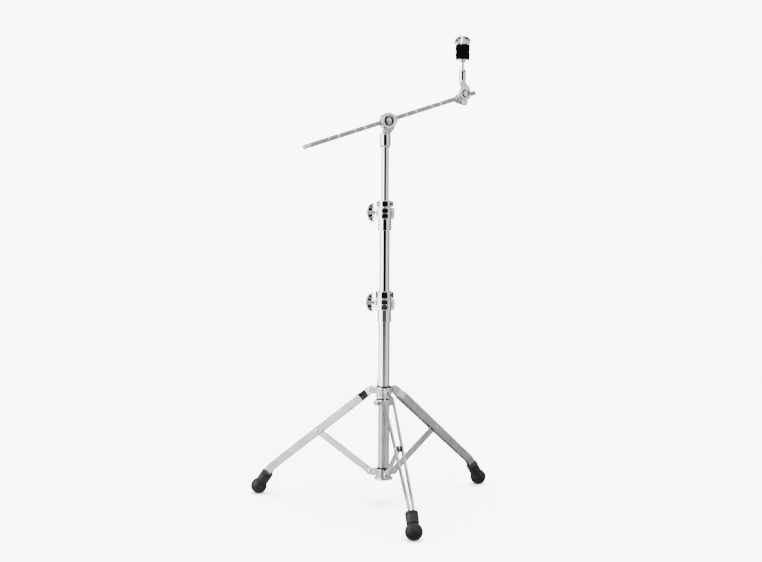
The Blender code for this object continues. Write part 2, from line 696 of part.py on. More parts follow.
def leg_holes(tag, leg):
    """Cutters across both strips: hub pin, brace pivot and drain hole."""
    straight = pitch_direction(math.radians(LEG_PITCH))
    holes = []
    for label, distance, radius in (("hub", 0.0, PIN_R + GAP), ("brace", BRACE_ON_LEG, PIN_R + GAP),
                                    ("drain", LEG_STRAIGHT - DRAIN_HOLE_ABOVE_BEND, DRAIN_HOLE_R)):
        place = Matrix.Translation(straight * distance) @ across()
        holes.append(bar(f"{tag}_{label}_hole", radius, -THROUGH, THROUGH, leg, place))
    return holes


def brace_bushing(name, side, leg):
    """A spacer between strip and brace, its headed end through the strip. It stops short of the brace."""
    offset = strip_offset(BRACE_ON_LEG)
    inner_face = offset - STRIP_THICKNESS / 2 - GAP
    outer_face = offset + STRIP_THICKNESS / 2 + GAP
    start = BRACE_THICKNESS / 2 + GAP
    tip = outer_face + PIN_HEAD
    profile = [(0.0, tip), (PIN_HEAD_R - PIN_HEAD_EDGE, tip), (PIN_HEAD_R, tip - PIN_HEAD_EDGE),
               (PIN_HEAD_R, outer_face), (PIN_R, outer_face), (PIN_R, inner_face),
               (BUSHING_R, inner_face), (BUSHING_R, start), (0.0, start)]
    straight = pitch_direction(math.radians(LEG_PITCH))
    place = Matrix.Translation(straight * BRACE_ON_LEG) @ turn(-90 * side, "X")
    turned(name, profile, leg, place, BLACK_NYLON, SMALL_STEPS)


def foot_profile(ball_steps=7):
    """A ball on the floor, a groove above it and the sleeve over the strips' ends."""
    groove_low, groove_high, sleeve_bottom = FOOT_GROOVE
    groove_r = FOOT_SLEEVE_R - FOOT_GROOVE_DEPTH
    profile = [(0.0, FOOT_SLEEVE_TOP), (FOOT_SLEEVE_R - FOOT_SLEEVE_EDGE, FOOT_SLEEVE_TOP),
               (FOOT_SLEEVE_R, FOOT_SLEEVE_TOP - FOOT_SLEEVE_EDGE), (FOOT_SLEEVE_R, sleeve_bottom),
               (groove_r, groove_high), (groove_r, groove_low)]
    first = math.radians(FOOT_BALL_START)
    for k in range(ball_steps):
        angle = first - (first + math.pi / 2) * k / ball_steps
        profile.append((FOOT_BALL_R * math.cos(angle), FOOT_BALL_R * math.sin(angle)))
    profile.append((0.0, -FOOT_BALL_R))
    return profile


def foot(name, leg):
    centre = foot_centre()
    up_foot = -pitch_direction(math.radians(FOOT_PITCH))
    place = Matrix.Translation(centre) @ facing(up_foot, up_foot.cross(Vector((0.0, 1.0, 0.0))))
    body = turned(name, foot_profile(), leg, place, BLACK_RUBBER, MEDIUM_STEPS)
    pocket = (STRIP_WIDTH + POCKET_AIR, 2 * STRIP_OFFSET_FOOT + STRIP_THICKNESS + 2 * POCKET_AIR, 2 * THROUGH)
    cut(body, block(name + "_pocket", pocket, leg, place @ along(z=STRIP_TAIL - EDGE + THROUGH)))
    floor_size = 3 * FOOT_BALL_R
    floor_place = along(centre.x, 0.0, -LEG_PIVOT_Z - THROUGH)
    cut(body, block(name + "_floor", (floor_size, floor_size, 2 * THROUGH), leg, floor_place))


def legs(slider):
    for index in range(3):
        tag = f"leg_{index + 1}"
        leg = joint_empty(tag + "_pivot", slider, sector(index) @ along(LEG_PIVOT_R, 0.0, LEG_PIVOT_Z))
        holes = leg_holes(tag, leg)
        for label, side in (("left", 1), ("right", -1)):
            strip = ribbon(f"{tag}_strip_{label}", strip_stations(side), leg, Matrix(), STRIP_STEEL)
            cut(strip, *holes)
            brace_bushing(f"{tag}_brace_bushing_{label}", side, leg)
        foot(f"{tag}_foot", leg)


def brace_vector():
    """Lower brace pivot to the pivot on the leg, in the leg's plane."""
    straight = pitch_direction(math.radians(LEG_PITCH))
    top = Vector((LEG_PIVOT_R, 0.0, LEG_PIVOT_Z)) + straight * BRACE_ON_LEG
    return top - Vector((BRACE_PIVOT_R, 0.0, BRACE_PIVOT_Z))


def bar_outline(length, half, arc_steps=6):
    """A strip with two round ends, from x = 0 to x = length."""
    outline = []
    for centre, start in ((length, -math.pi / 2), (0.0, math.pi / 2)):
        for k in range(arc_steps + 1):
            angle = start + math.pi * k / arc_steps
            outline.append((centre + half * math.cos(angle), half * math.sin(angle)))
    return outline


def braces(mast):
    reach = brace_vector()
    place = turn(-math.degrees(math.atan2(reach.z, reach.x)), "Y")
    outline = bar_outline(reach.length, BRACE_WIDTH / 2)
    for index in range(3):
        name = f"brace_{index + 1}"
        pivot = joint_empty(name + "_pivot", mast, sector(index) @ along(BRACE_PIVOT_R, 0.0, BRACE_PIVOT_Z))
        strip = plate(name, outline, BRACE_THICKNESS, pivot, place, STRIP_STEEL)
        for label, distance in (("low", 0.0), ("high", reach.length)):
            hole_place = place @ along(x=distance) @ across()
            cut(strip, bar(f"{name}_{label}_hole", PIN_R + GAP, -THROUGH, THROUGH, pivot, hole_place))


# ---------------------------------------------------------------- height clamps
def clamp_frame():
    """Local X towards the wing bolt, local Y away from the front, Z up."""
    return turn(CLAMP_AZIMUTH, "Z")


def clamp_bore(name, clamp, parent):
    """The cutter for a clamp's bore: the lower tube's size up to a step, then the bushing's."""
    seat = clamp.inner_tube + CLAMP_SEAT_WALL + GAP
    sleeve = clamp.outer_tube + GAP
    step = clamp.shoulder - 2 * GAP
    over, under = clamp.top + THROUGH, clamp.bottom - THROUGH
    profile = [(0.0, over), (seat, over), (seat, step), (sleeve, step), (sleeve, under), (0.0, under)]
    return turned(name + "_bore", profile, parent, Matrix())


def clamp_body(prefix, clamp, parent):
    """A sleeve over the tube's end and a boss with two ears: a bolt ear and a nut ear."""
    name = prefix + "_clamp_body"
    sleeve_out = clamp.outer_tube + clamp.sleeve_wall
    profile = [(0.0, clamp.top), (clamp.boss_r - EDGE, clamp.top), (clamp.boss_r, clamp.top - EDGE),
               (clamp.boss_r, clamp.shoulder), (sleeve_out, clamp.shoulder),
               (sleeve_out, clamp.bottom + EDGE), (sleeve_out - EDGE, clamp.bottom), (0.0, clamp.bottom)]
    body = turned(name, profile, parent, Matrix(), CAST_CHROME)
    ears = (2 * clamp.half_width, CLAMP_EAR_DEPTH, clamp.top - clamp.shoulder - EDGE)
    ear_place = clamp_frame() @ along(z=(clamp.shoulder + clamp.top) / 2)
    join(body, block(name + "_ears", ears, parent, ear_place, rounding=2 * EDGE))
    cut(body, clamp_bore(name, clamp, parent))
    bolt_place = clamp_frame() @ along(z=clamp.wing_z) @ turn(90, "Y")
    hole_r = CLAMP_STEM_R + GAP
    cut(body, bar(name + "_bolt_hole", hole_r, clamp.inner_tube, 2 * THROUGH, parent, bolt_place))
    slot_place = clamp_frame() @ along(clamp.boss_r - EDGE, CLAMP_EAR_DEPTH / 2, clamp.wing_z)
    cut(body, block(name + "_nut_slot", CLAMP_NUT_SLOT, parent, slot_place))


def bushing(prefix, clamp, parent):
    """The plastic ring that the wing bolt presses onto the sliding tube."""
    ring(prefix + "_clamp_bushing", clamp.inner_tube + GAP, clamp.inner_tube + CLAMP_SEAT_WALL,
         clamp.shoulder - GAP, clamp.top - GAP, parent, BLACK_NYLON)


def clamp_wing_bolt(prefix, clamp, parent):
    name = prefix + "_wing_bolt"
    place = clamp_frame() @ along(x=clamp.wing_tip, z=clamp.wing_z) @ turn(90, "Y")
    joint = joint_empty(name + "_axis", parent, place)
    flat = clamp.wing_flat - clamp.wing_tip
    wing_screw(name, CLAMP_STEM_R, flat, CLAMP_WING_HALF, CLAMP_WING_DEPTH, joint)


def memory_lock(prefix, clamp, parent):
    """A split ring on the sliding tube, with two ears and a square-headed key bolt."""
    name = prefix + "_memory_lock"
    bottom, top = clamp.top + GAP, clamp.lock_top
    inner = clamp.inner_tube + GAP
    body = round_block(name, clamp.lock_r, bottom, top, parent, CAST_CHROME, EDGE)
    frame = clamp_frame() @ along(z=(bottom + top) / 2)
    ears = (2 * clamp.lock_half_width, MEMORY_EAR_DEPTH, top - bottom - 3 * EDGE)
    join(body, block(name + "_ears", ears, parent, frame, rounding=2 * EDGE))
    cut(body, bar(name + "_bore", inner, -THROUGH, THROUGH, parent, frame, steps=LARGE_STEPS))
    split(body, MEMORY_SLOT, -clamp.lock_half_width - EDGE, EDGE - inner, parent, frame)
    bolt_place = frame @ along(x=MEMORY_BOLT_INSET - clamp.lock_half_width) @ turn(-90, "X")
    cut(body, bar(name + "_bolt_hole", KEY_BOLT_R + GAP, -THROUGH, THROUGH, parent, bolt_place))
    key_bolt(prefix + "_lock_key_bolt", MEMORY_BOLT_HALF, parent, bolt_place)


def height_clamp(prefix, clamp, below, above):
    """The clamp that is fixed on the lower tube, and the memory lock that rides on the tube above."""
    clamp_body(prefix, clamp, below)
    bushing(prefix, clamp, below)
    clamp_wing_bolt(prefix, clamp, below)
    memory_lock(prefix, clamp, above)


# ---------------------------------------------------------------- boom
def boom_frame():
    """Local X along the boom's horizontal direction, local Y away from the front, Z up."""
    return turn(BOOM_AZIMUTH, "Z")


def boom_rotation():
    """Local X along the boom, tilted up to its pitch."""
    return boom_frame() @ turn(-BOOM_PITCH, "Y")


def boom_length(reach):
    """Distance along the boom for a horizontal reach from the mast."""
    return reach / math.cos(math.radians(BOOM_PITCH))


def recessed_disc(name, radius, near, far, recess, depth, parent, local):
    """A round face along local Z with a shallow recess inside its rim."""
    floor_r, rim_r, outer_r = recess
    profile = [(0.0, far - depth), (floor_r, far - depth), (rim_r, far), (outer_r, far),
               (radius, far - DISC_EDGE), (radius, near), (0.0, near)]
    return turned(name, profile, parent, local)


def tilter_casting(stage):
    """The sleeve on the upper tube, the neck that leans forward and the round face of the boom tilter."""
    bottom, top = TILTER_SLEEVE_Z
    inner = UPPER_TUBE_R + GAP
    seat = UPPER_TUBE_ENDS[1] + GAP
    chamfer_r = TILTER_SLEEVE_R - DISC_EDGE
    profile = [(0.0, top + DISC_EDGE), (TILTER_SLEEVE_TOP_R, top + DISC_EDGE), (TILTER_SLEEVE_R, top),
               (TILTER_SLEEVE_R, bottom + 2 * DISC_EDGE), (chamfer_r, bottom), (inner, bottom), (inner, seat),
               (0.0, seat)]
    casting = turned("boom_tilter_casting", profile, stage, Matrix(), CAST_CHROME)
    neck = loft("tilter_neck", TILTER_NECK, stage, boom_frame())
    front = boom_frame() @ along(z=BOOM_AXIS_Z) @ turn(90, "X")
    disc = recessed_disc("tilter_disc", TILTER_DISC_R, *TILTER_DISC_H, TILTER_RECESS_R, TILTER_RECESS_DEPTH,
                         stage, front)
    join(casting, neck, disc)
    cut(casting, bar("tilter_bolt_hole", CAP_NUT_SHANK_R + GAP, 0.0, 2 * THROUGH, stage, front))


def holder_cap_nut(pivot, front):
    """The domed nut in the recess of the tilter's face, on its shank."""
    floor = TILTER_DISC_H[1] - TILTER_RECESS_DEPTH + GAP
    shank = TILTER_DISC_H[0] + GAP
    crown = TILTER_DISC_H[1] + TILTER_RECESS_DEPTH
    profile = [(0.0, crown), (CAP_NUT_R / 2, crown - GAP), (CAP_NUT_R - EDGE, TILTER_DISC_H[1]),
               (CAP_NUT_R, floor), (CAP_NUT_SHANK_R, floor), (CAP_NUT_SHANK_R, shank), (0.0, shank)]
    turned("holder_cap_nut", profile, pivot, front, CHROME, SMALL_STEPS)


def boom_holder(stage):
    """The sleeve that grips the boom, with the tilter's inner disc in front and the bolt boss behind."""
    pivot = joint_empty("boom_tilt_axis", stage, along(z=BOOM_AXIS_Z))
    tilted = boom_rotation()
    along_boom = tilted @ turn(90, "Y")
    front = boom_frame() @ turn(90, "X")
    lug_x, lug_z = HOLDER_LUG_PLACE
    holder = bar("boom_holder", HOLDER_R, *HOLDER_ENDS, pivot, along_boom, CAST_CHROME, MEDIUM_STEPS)
    disc = bar("holder_disc", HOLDER_DISC_R, HOLDER_DISC_BACK, TILTER_DISC_H[0] - GAP, pivot, front,
               steps=MEDIUM_STEPS)
    boss = bar("holder_boss", HOLDER_BOSS_R, -HOLDER_BOSS_BACK, -HOLDER_DISC_BACK, pivot, front)
    lug = block("holder_lug", HOLDER_LUG, pivot, tilted @ along(x=lug_x, z=lug_z), rounding=EDGE)
    join(holder, disc, boss, lug)
    bore_ends = (-2 * THROUGH, 2 * THROUGH)
    cut(holder, bar("holder_bore", BOOM_R + GAP, *bore_ends, pivot, along_boom, steps=MEDIUM_STEPS))
    cut(holder, bar("holder_bolt_hole", BOOM_BOLT_R + GAP, -THROUGH, -BOOM_R, pivot, front))
    slot = (3 * BOOM_R, HOLDER_SLOT, THROUGH)
    slot_place = tilted @ along(x=lug_x + 2 * EDGE, z=-THROUGH / 2 - EDGE)
    cut(holder, block("holder_split", slot, pivot, slot_place))
    holder_cap_nut(pivot, front)
    back = boom_frame() @ turn(-90, "X")
    wing_axis = joint_empty("boom_wing_bolt_axis", pivot, back @ along(z=BOOM_BOLT_START))
    wing_screw("boom_wing_bolt", BOOM_BOLT_R, BOOM_WING_FLAT, BOOM_WING_HALF, BOOM_WING_DEPTH, wing_axis,
               roll=90)
    return pivot


def boom_arm(holder):
    """The knurled rod and the smooth end cap on its far end."""
    slide = joint_empty("boom_slide_axis", holder, boom_rotation() @ turn(90, "Y"))
    left, right = boom_length(BOOM_LEFT), boom_length(BOOM_RIGHT)
    shoulder = left + BOOM_CAP_LENGTH
    spigot = shoulder - BOOM_SPIGOT_LENGTH
    rod_profile = [(0.0, right), (BOOM_R - EDGE, right), (BOOM_R, right - EDGE), (BOOM_R, shoulder),
                   (BOOM_SPIGOT_R, shoulder), (BOOM_SPIGOT_R, spigot), (0.0, spigot)]
    turned("boom_arm", rod_profile, slide, Matrix(), KNURLED_STEEL, MEDIUM_STEPS)
    end_cap(slide, left, shoulder, spigot)
    return slide


def end_cap(slide, left, shoulder, spigot):
    """The polished cap on the rod's spigot, with a groove near its shoulder."""
    socket = BOOM_SPIGOT_R + GAP
    waist = BOOM_R - CAP_GROOVE_DEPTH
    near, near_floor, far_floor, far = (shoulder - distance for distance in CAP_GROOVE)
    profile = [(0.0, spigot - GAP), (socket, spigot - GAP), (socket, shoulder - GAP),
               (BOOM_R, shoulder - GAP), (BOOM_R, near), (waist, near_floor), (waist, far_floor),
               (BOOM_R, far), (BOOM_R, left + CAP_EDGE), (BOOM_R - CAP_EDGE, left), (0.0, left)]
    turned("boom_end_cap", profile, slide, Matrix(), CHROME, MEDIUM_STEPS)


# ---------------------------------------------------------------- cymbal tilter and seat
def level_frame():
    """The cymbal tilter's upright frame, seen from the boom's own frame, whose Z is the boom."""
    return turn(-90, "Y") @ turn(BOOM_PITCH, "Y")


def base_screw(base, roll_axis):
    """The square-headed key screw on top of the base."""
    screw_x, seat = BASE_SCREW_PLACE
    place = turn(-90, "Y") @ along(x=screw_x, z=seat)
    head_bottom = BASE_SCREW_HEAD[2] + GAP
    cut(base, bar("base_key_hole", BASE_SCREW_R + GAP, -GAP, THROUGH, roll_axis, place))
    screw_ends = (BASE_SCREW_TIP, head_bottom + EDGE)
    screw = bar("base_key_screw", BASE_SCREW_R, *screw_ends, roll_axis, place, BLACK_STEEL)
    head_place = place @ along(z=head_bottom + BASE_SCREW_HEAD[2] / 2)
    join(screw, block("key_screw_head", BASE_SCREW_HEAD, roll_axis, head_place))


def tilter_base(slide):
    """The clamp on the boom's end with the cymbal tilter's inner disc, its key screw and its wing bolt."""
    roll_axis = joint_empty("tilter_roll_axis", slide, along(z=boom_length(CYMBAL_REACH)))
    base = bar("cymbal_tilter_base", BASE_R, -BASE_HALF, BASE_HALF, roll_axis, Matrix(), CAST_CHROME,
               MEDIUM_STEPS)
    front = level_frame() @ along(z=CYMBAL_PIVOT_RISE) @ turn(90, "X")
    disc = bar("base_disc", BASE_DISC_R, BASE_DISC_BACK, NECK_DISC_H[0] - GAP, roll_axis, front,
               steps=MEDIUM_STEPS)
    upright = turn(-90, "Y")
    lug = block("base_lug", BASE_LUG, roll_axis, upright @ along(z=-BASE_LUG_DROP), rounding=2 * EDGE)
    join(base, disc, lug)
    bore_ends = (-2 * THROUGH, 2 * THROUGH)
    cut(base, bar("base_bore", BOOM_R + GAP, *bore_ends, roll_axis, Matrix(), steps=MEDIUM_STEPS))
    slot = (3 * THROUGH, BASE_SLOT, THROUGH)
    cut(base, block("base_split", slot, roll_axis, upright @ along(z=-BASE_SLOT_DROP)))
    cross = upright @ along(z=-BASE_BOLT_DROP) @ turn(-90, "X")
    cut(base, bar("base_bolt_hole", BOOM_BOLT_R + GAP, -THROUGH, THROUGH, roll_axis, cross))
    base_screw(base, roll_axis)
    wing_axis = joint_empty("tilter_wing_bolt_axis", roll_axis, cross @ along(z=BASE_BOLT_START))
    wing_screw("tilter_wing_bolt", BOOM_BOLT_R, BASE_WING_FLAT, BASE_WING_HALF, BASE_WING_HALF, wing_axis,
               roll=BASE_WING_ROLL)
    return roll_axis


def cymbal_pivot_z():
    return BOOM_AXIS_Z + CYMBAL_REACH * math.tan(math.radians(BOOM_PITCH)) + CYMBAL_PIVOT_RISE


def cymbal_neck(pivot):
    """The front disc of the cymbal tilter and the neck that leads back over the boom to the post."""
    height = cymbal_pivot_z()
    collar, top = NECK_Z[0] - height, NECK_Z[1] - height
    round_height, round_depth = NECK_TOP_ROUND
    sections = [*NECK_FLARE, (collar, 0.0, NECK_R, NECK_R), (top - round_height, 0.0, NECK_R, NECK_R),
                (top, 0.0, NECK_R - round_depth, NECK_R - round_depth)]
    neck = loft("cymbal_tilter_neck", sections, pivot, Matrix(), CAST_CHROME)
    disc = recessed_disc("neck_disc", NECK_DISC_R, *NECK_DISC_H, NECK_RECESS_R, NECK_RECESS_DEPTH, pivot,
                         turn(90, "X"))
    join(neck, disc)
    bore_start = ROD_ENDS[0] - GAP - height
    cut(neck, bar("neck_rod_bore", ROD_R + GAP, bore_start, top + THROUGH, pivot, Matrix()))


def cymbal_seat(pivot, floor_frame):
    """The post, the cup washer on its nut, the plastic sleeve and the lower felt."""
    bar("cymbal_rod", ROD_R, *ROD_ENDS, pivot, floor_frame, CHROME)
    inner = ROD_R + GAP
    cup_bottom, cup_top = CUP_Z
    floor_r, rim_r, widest = CUP_R
    nut_bottom_r, nut_top_r, nut_height = CUP_NUT
    cup_floor = cup_top - EDGE
    nut_bottom = cup_bottom - nut_height
    cup_profile = [(inner, cup_floor), (floor_r, cup_floor), (rim_r, cup_top), (widest, cup_top - EDGE),
                   (widest, cup_top - 2 * EDGE), (nut_top_r, cup_bottom), (nut_bottom_r, nut_bottom),
                   (inner, nut_bottom)]
    turned("cup_washer", cup_profile, pivot, floor_frame, CHROME)
    sleeve_foot = cup_floor + GAP
    sleeve_step = cup_top + 2 * GAP
    sleeve_top = FELT_TOP_Z - EDGE
    sleeve_profile = [(inner, sleeve_top), (SLEEVE_R, sleeve_top), (SLEEVE_R, sleeve_step),
                      (SLEEVE_FOOT_R, sleeve_step), (SLEEVE_FOOT_R, sleeve_foot), (inner, sleeve_foot)]
    turned("cymbal_sleeve", sleeve_profile, pivot, floor_frame, BLACK_NYLON, SMALL_STEPS)
    felt("felt_lower", cup_top + GAP, FELT_SPLIT_Z, pivot, floor_frame)


def felt(name, bottom, top, parent, local):
    """A felt washer with soft rounded edges."""
    corner = FELT_ROUND * (1 - math.sqrt(0.5))
    profile = [(FELT_BORE_R, top), (FELT_R - FELT_ROUND, top), (FELT_R - corner, top - corner),
               (FELT_R, top - FELT_ROUND), (FELT_R, bottom + FELT_ROUND), (FELT_R - corner, bottom + corner),
               (FELT_R - FELT_ROUND, bottom), (FELT_BORE_R, bottom)]
    turned(name, profile, parent, local, BLACK_FELT)


def wing_nut(lift):
    """The nut on the post, blind at the top, with its wings broadside on to the clamps' front."""
    spin = joint_empty("wing_nut_axis", lift, Matrix())
    bottom = FELT_TOP_Z + GAP
    flat = FELT_TOP_Z + WING_CHAMFER
    crown_r, neck_r = WING_NUT_NECK_R
    profile = [(0.0, WING_NUT_TOP_Z), (crown_r, WING_NUT_TOP_Z), (neck_r, flat + EDGE), (WING_NUT_R, flat),
               (WING_NUT_R, bottom), (0.0, bottom)]
    nut = turned("cymbal_wing_nut", profile, spin, Matrix(), CHROME, MEDIUM_STEPS)
    outline = wing_outline(WING_NUT_HALF, flat, WING_NUT_TOP_Z - flat)
    broadside = turn(CLAMP_AZIMUTH - 180.0 - BOOM_AZIMUTH, "Z")
    join(nut, plate("wing_nut_wings", outline, WING_THICKNESS, spin, broadside, chamfer=WING_CHAMFER))
    bore_ends = (FELT_TOP_Z - THROUGH, ROD_ENDS[1] + GAP)
    cut(nut, bar("wing_nut_bore", ROD_R + GAP, *bore_ends, spin, Matrix()))


def cymbal_tilter(slide):
    """Everything on the boom's end. The upper felt and the wing nut lift off together for the cymbal."""
    roll_axis = tilter_base(slide)
    pivot = joint_empty("cymbal_tilt_axis", roll_axis, level_frame() @ along(z=CYMBAL_PIVOT_RISE))
    cymbal_neck(pivot)
    floor_frame = along(z=-cymbal_pivot_z())
    cymbal_seat(pivot, floor_frame)
    lift = joint_empty("felt_lift_axis", pivot, floor_frame)
    felt("felt_upper", FELT_SPLIT_Z + GAP, FELT_TOP_Z, lift, Matrix())
    wing_nut(lift)


# ---------------------------------------------------------------- assembly
def mast_position():
    """One leg points to the front, so the mast stands behind the middle of the footprint's box."""
    return Vector((0.0, (LEG_PIVOT_R + foot_centre().x) / 4, 0.0))


def tube(name, radius, ends, parent):
    ring(name, radius - TUBE_WALL, radius, *ends, parent, CHROME)


def build():
    mast = joint_empty("mast", None, Matrix.Translation(mast_position()))
    slider = joint_empty("leg_hub_slide", mast, Matrix())
    middle = joint_empty("middle_stage", mast, Matrix())
    upper = joint_empty("upper_stage", middle, Matrix())

    tube("base_tube", BASE_TUBE_R, BASE_TUBE_ENDS, mast)
    tube("middle_tube", MIDDLE_TUBE_R, MIDDLE_TUBE_ENDS, middle)
    tube("upper_tube", UPPER_TUBE_R, UPPER_TUBE_ENDS, upper)
    height_clamp("lower", LOWER_CLAMP, mast, middle)
    height_clamp("upper", UPPER_CLAMP, middle, upper)

    lower_hub(mast)
    braces(mast)
    upper_hub(slider)
    leg_lock(slider)
    legs(slider)

    tilter_casting(upper)
    cymbal_tilter(boom_arm(boom_holder(upper)))


clear_scene()
parts = new_collection(COLLECTION)
cutters = new_collection("cutters")
build()
bpy.context.view_layer.update()
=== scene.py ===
"""The looks of the cymbal boom stand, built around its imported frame. Metres, +Z up.

Every visible piece is modelled again here, finely, in the place that the frame gives it. Then come the
studio, the floor and the camera.
"""
import json
import math
from collections import namedtuple

import bmesh
import bpy
from mathutils import Matrix, Vector, noise


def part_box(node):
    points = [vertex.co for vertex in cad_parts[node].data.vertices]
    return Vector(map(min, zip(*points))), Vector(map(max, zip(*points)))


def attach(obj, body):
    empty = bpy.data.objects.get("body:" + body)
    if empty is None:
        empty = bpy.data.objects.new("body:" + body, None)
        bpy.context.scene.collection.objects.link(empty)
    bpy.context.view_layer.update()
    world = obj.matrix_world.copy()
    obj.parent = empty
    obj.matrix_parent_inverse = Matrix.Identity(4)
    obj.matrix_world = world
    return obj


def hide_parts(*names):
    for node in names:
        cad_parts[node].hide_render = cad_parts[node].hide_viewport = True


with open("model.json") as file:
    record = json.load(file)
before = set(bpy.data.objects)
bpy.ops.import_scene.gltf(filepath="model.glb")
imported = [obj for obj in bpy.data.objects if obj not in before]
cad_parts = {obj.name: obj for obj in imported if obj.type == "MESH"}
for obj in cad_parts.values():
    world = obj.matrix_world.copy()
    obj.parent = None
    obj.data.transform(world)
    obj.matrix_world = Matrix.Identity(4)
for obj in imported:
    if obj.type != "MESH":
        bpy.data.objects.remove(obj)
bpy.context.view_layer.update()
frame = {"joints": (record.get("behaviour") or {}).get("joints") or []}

JOINTS = {joint["name"]: joint for joint in frame["joints"]}
UP = Vector((0.0, 0.0, 1.0))
GAP = 0.0003                    # air between pieces that touch
EDGE = 0.0006                   # rounding of a casting's edges
FINE = 96                       # facets around a tube or a hub
SMALL = 48                      # facets around a pin or a bolt
THROUGH = 0.020                 # half length of a cutter that goes right through a small piece

# ---------------------------------------------------------------- camera and studio
CAMERA_AZIMUTH = -11.7          # degrees round the mast from the front
CAMERA_DISTANCE = 3.2
CAMERA_HEIGHT = 0.798
CAMERA_PITCH = -4.05
CAMERA_YAW = 0.16               # the mast stands a little to the right of the middle
CAMERA_ROLL = 0.3
LENS = 60.0
SENSOR = 36.0
FLOOR_RADIUS = 19.0
FLOOR_COLOUR = (0.90, 0.90, 0.90)
FLOOR_GLOW = 0.9
DAYLIGHT = 2.0                  # the soft white that lights every side
BACKDROP_GLOW = 9.0             # the white that is seen behind the stand
OVERHEAD_STRENGTH = 21.0
OVERHEAD_SPREAD = math.radians(50.0)
WALL_RADIUS = 2.0               # studio walls that only reflections see
WALL_HEIGHT = 3.2
DARK_TOP = (1.30, 1.45)         # between these heights the walls brighten to at least ABOVE_DARK
ABOVE_DARK = 0.95
LOW_FADE = 0.36                 # from this height down to the floor they brighten to at least LOW_GREY
LOW_GREY = 0.42
CEILING_GLOW = 1.1
REFLECTED_FLOOR = (0.27, 0.70)  # the floor in reflections: darkest and lightest patches
REFLECTED_WALL_SHARE = 0.18     # how much of the walls shows in it
PANELS = (                      # walls: start and end in degrees from the camera's side, and brightness
    (-180.0, -173.0, 0.02),
    (-166.0, -112.0, 0.42),
    (-103.0, -37.0, 6.00),
    (-34.0, 29.0, 0.006),
    (32.0, 80.0, 1.25),
    (90.0, 134.0, 0.40),
    (141.0, 152.0, 0.02),
    (158.0, 167.0, 1.20),
    (174.0, 180.0, 0.02),
)

# ---------------------------------------------------------------- legs, feet and braces
LEG_PITCH = math.radians(38.6)  # below the horizontal
LEG_STRAIGHT = 0.351            # pivot to the bend above the foot
FOOT_PITCH = math.radians(56.0)
FOOT_BALL_R = 0.0210
FOOT_BALL_Z = 0.0203
FOOT_SLEEVE_R = 0.0155
FOOT_SLEEVE_TOP = 0.047
FOOT_RIBS = 3
FOOT_RIB_PITCH = 0.0026
FOOT_RIB_DEPTH = 0.0005
FOOT_GROOVE_DEPTH = 0.0020
FOOT_BALL_START = 47.0          # degrees above the ball's middle where it leaves the groove
BALL_RINGS = (28.0, 4.0, -20.0)  # degrees above the ball's middle
BALL_RING_HALF = 2.2            # half width of a ring, in degrees
RING_DEPTH = 0.0007
FOOT_POCKET_AIR = 0.0006
STRIP_WIDTH = 0.020
STRIP_THICKNESS = 0.003
STRIP_OFFSET_HUB = 0.0038
STRIP_OFFSET_WIDE = 0.0115
STRIP_OFFSET_FOOT = 0.0050
STRIP_JOGGLE = (0.012, 0.030)
STRIP_TAIL = 0.024
STRIP_EDGE = 0.0006
BEND_RADIUS = 0.060
BRACE_ON_LEG = 0.183
BRACE_WIDTH = 0.018
BRACE_THICKNESS = 0.003
PIN_R = 0.0028
PIN_HEAD_R = 0.0050
PIN_HEAD = 0.0017
DIMPLE_R = 0.0016
BUSHING_R = 0.0066
DRAIN_HOLE_R = 0.0020
DRAIN_HOLE_ABOVE_BEND = 0.022

# ---------------------------------------------------------------- tubes, hubs and leg lock
TUBE_WALL = 0.0012
LINER_R = 0.0160
LOWER_LINER_FLANGE_R = 0.0169
UPPER_LINER_FLANGE_R = 0.0183
LINER_LIP = 0.0016              # how far the upper liner's lip stands out below the hub
HUB_GROOVE = 0.0006             # depth of the upper hub's waist
HUB_ABOVE_LOCK = 0.0035         # gap from the leg lock up to the hub's casting
UPPER_HUB_R = 0.0205
LOWER_HUB_R = 0.0190
LOWER_FLANGE_R = 0.0235
LOWER_FLANGE = 0.0042
LUG_HALF_HEIGHT = 0.0092
LEG_LUG_THICKNESS = 0.0040
BRACE_LUG_THICKNESS = 0.0098
BRACE_SLOT_START = -0.0090
HUB_SCREW_R = 0.0020
LOCK_RING_R = 0.0215
LEG_LOCK_AZIMUTH = -150.0
LOCK_EAR = (0.0120, 0.0150, 0.0125)
LOCK_EAR_REACH = 0.0220
LOCK_BACK = (0.0080, 0.0110, 0.0125)
LOCK_BACK_REACH = 0.0215
LOCK_SLOT = 0.0016
LOCK_BOLT_REACH = 0.0243
LOCK_BOLT_HALF = 0.0078
TONGUE = (0.0026, 0.0080, 0.0160)  # the upright tab on the upper liner's left side

# ---------------------------------------------------------------- bolts and wings
KEY_BOLT_R = 0.0020
KEY_HEAD = 0.0046
KEY_HEAD_HEIGHT = 0.0040
KEY_NUT_R = 0.0032
KEY_NUT_HEIGHT = 0.0022
WING_HALF_THICKNESS = 0.0021
WING_SCOOP = 0.0015             # how deep the faces are hollowed
WING_BOWL = 0.0055              # how far in from the rim they reach their depth
WING_RIM = 0.0016               # width of the rounding at the rim
WING_LIP = 0.0012               # the hollow starts this far in from the rim
WING_RIB = 0.0018               # height of the rib down the middle
WING_RIB_WIDTH = 0.0028
WING_RIB_FADE = 0.0030          # how far in from the rim it reaches its height
WING_RIDGE = 0.0007             # a slanting ridge stands this high in each hollow
WING_RIDGE_WIDTH = 0.0013
WING_RIDGE_FADE = 0.0040
WING_RIDGE_START = 0.36         # where it starts at the flat edge, as a share of the half length
WING_RIDGE_SLANT = 0.55
WING_CORNER = 0.0040
WING_BOSS_R = 0.0052

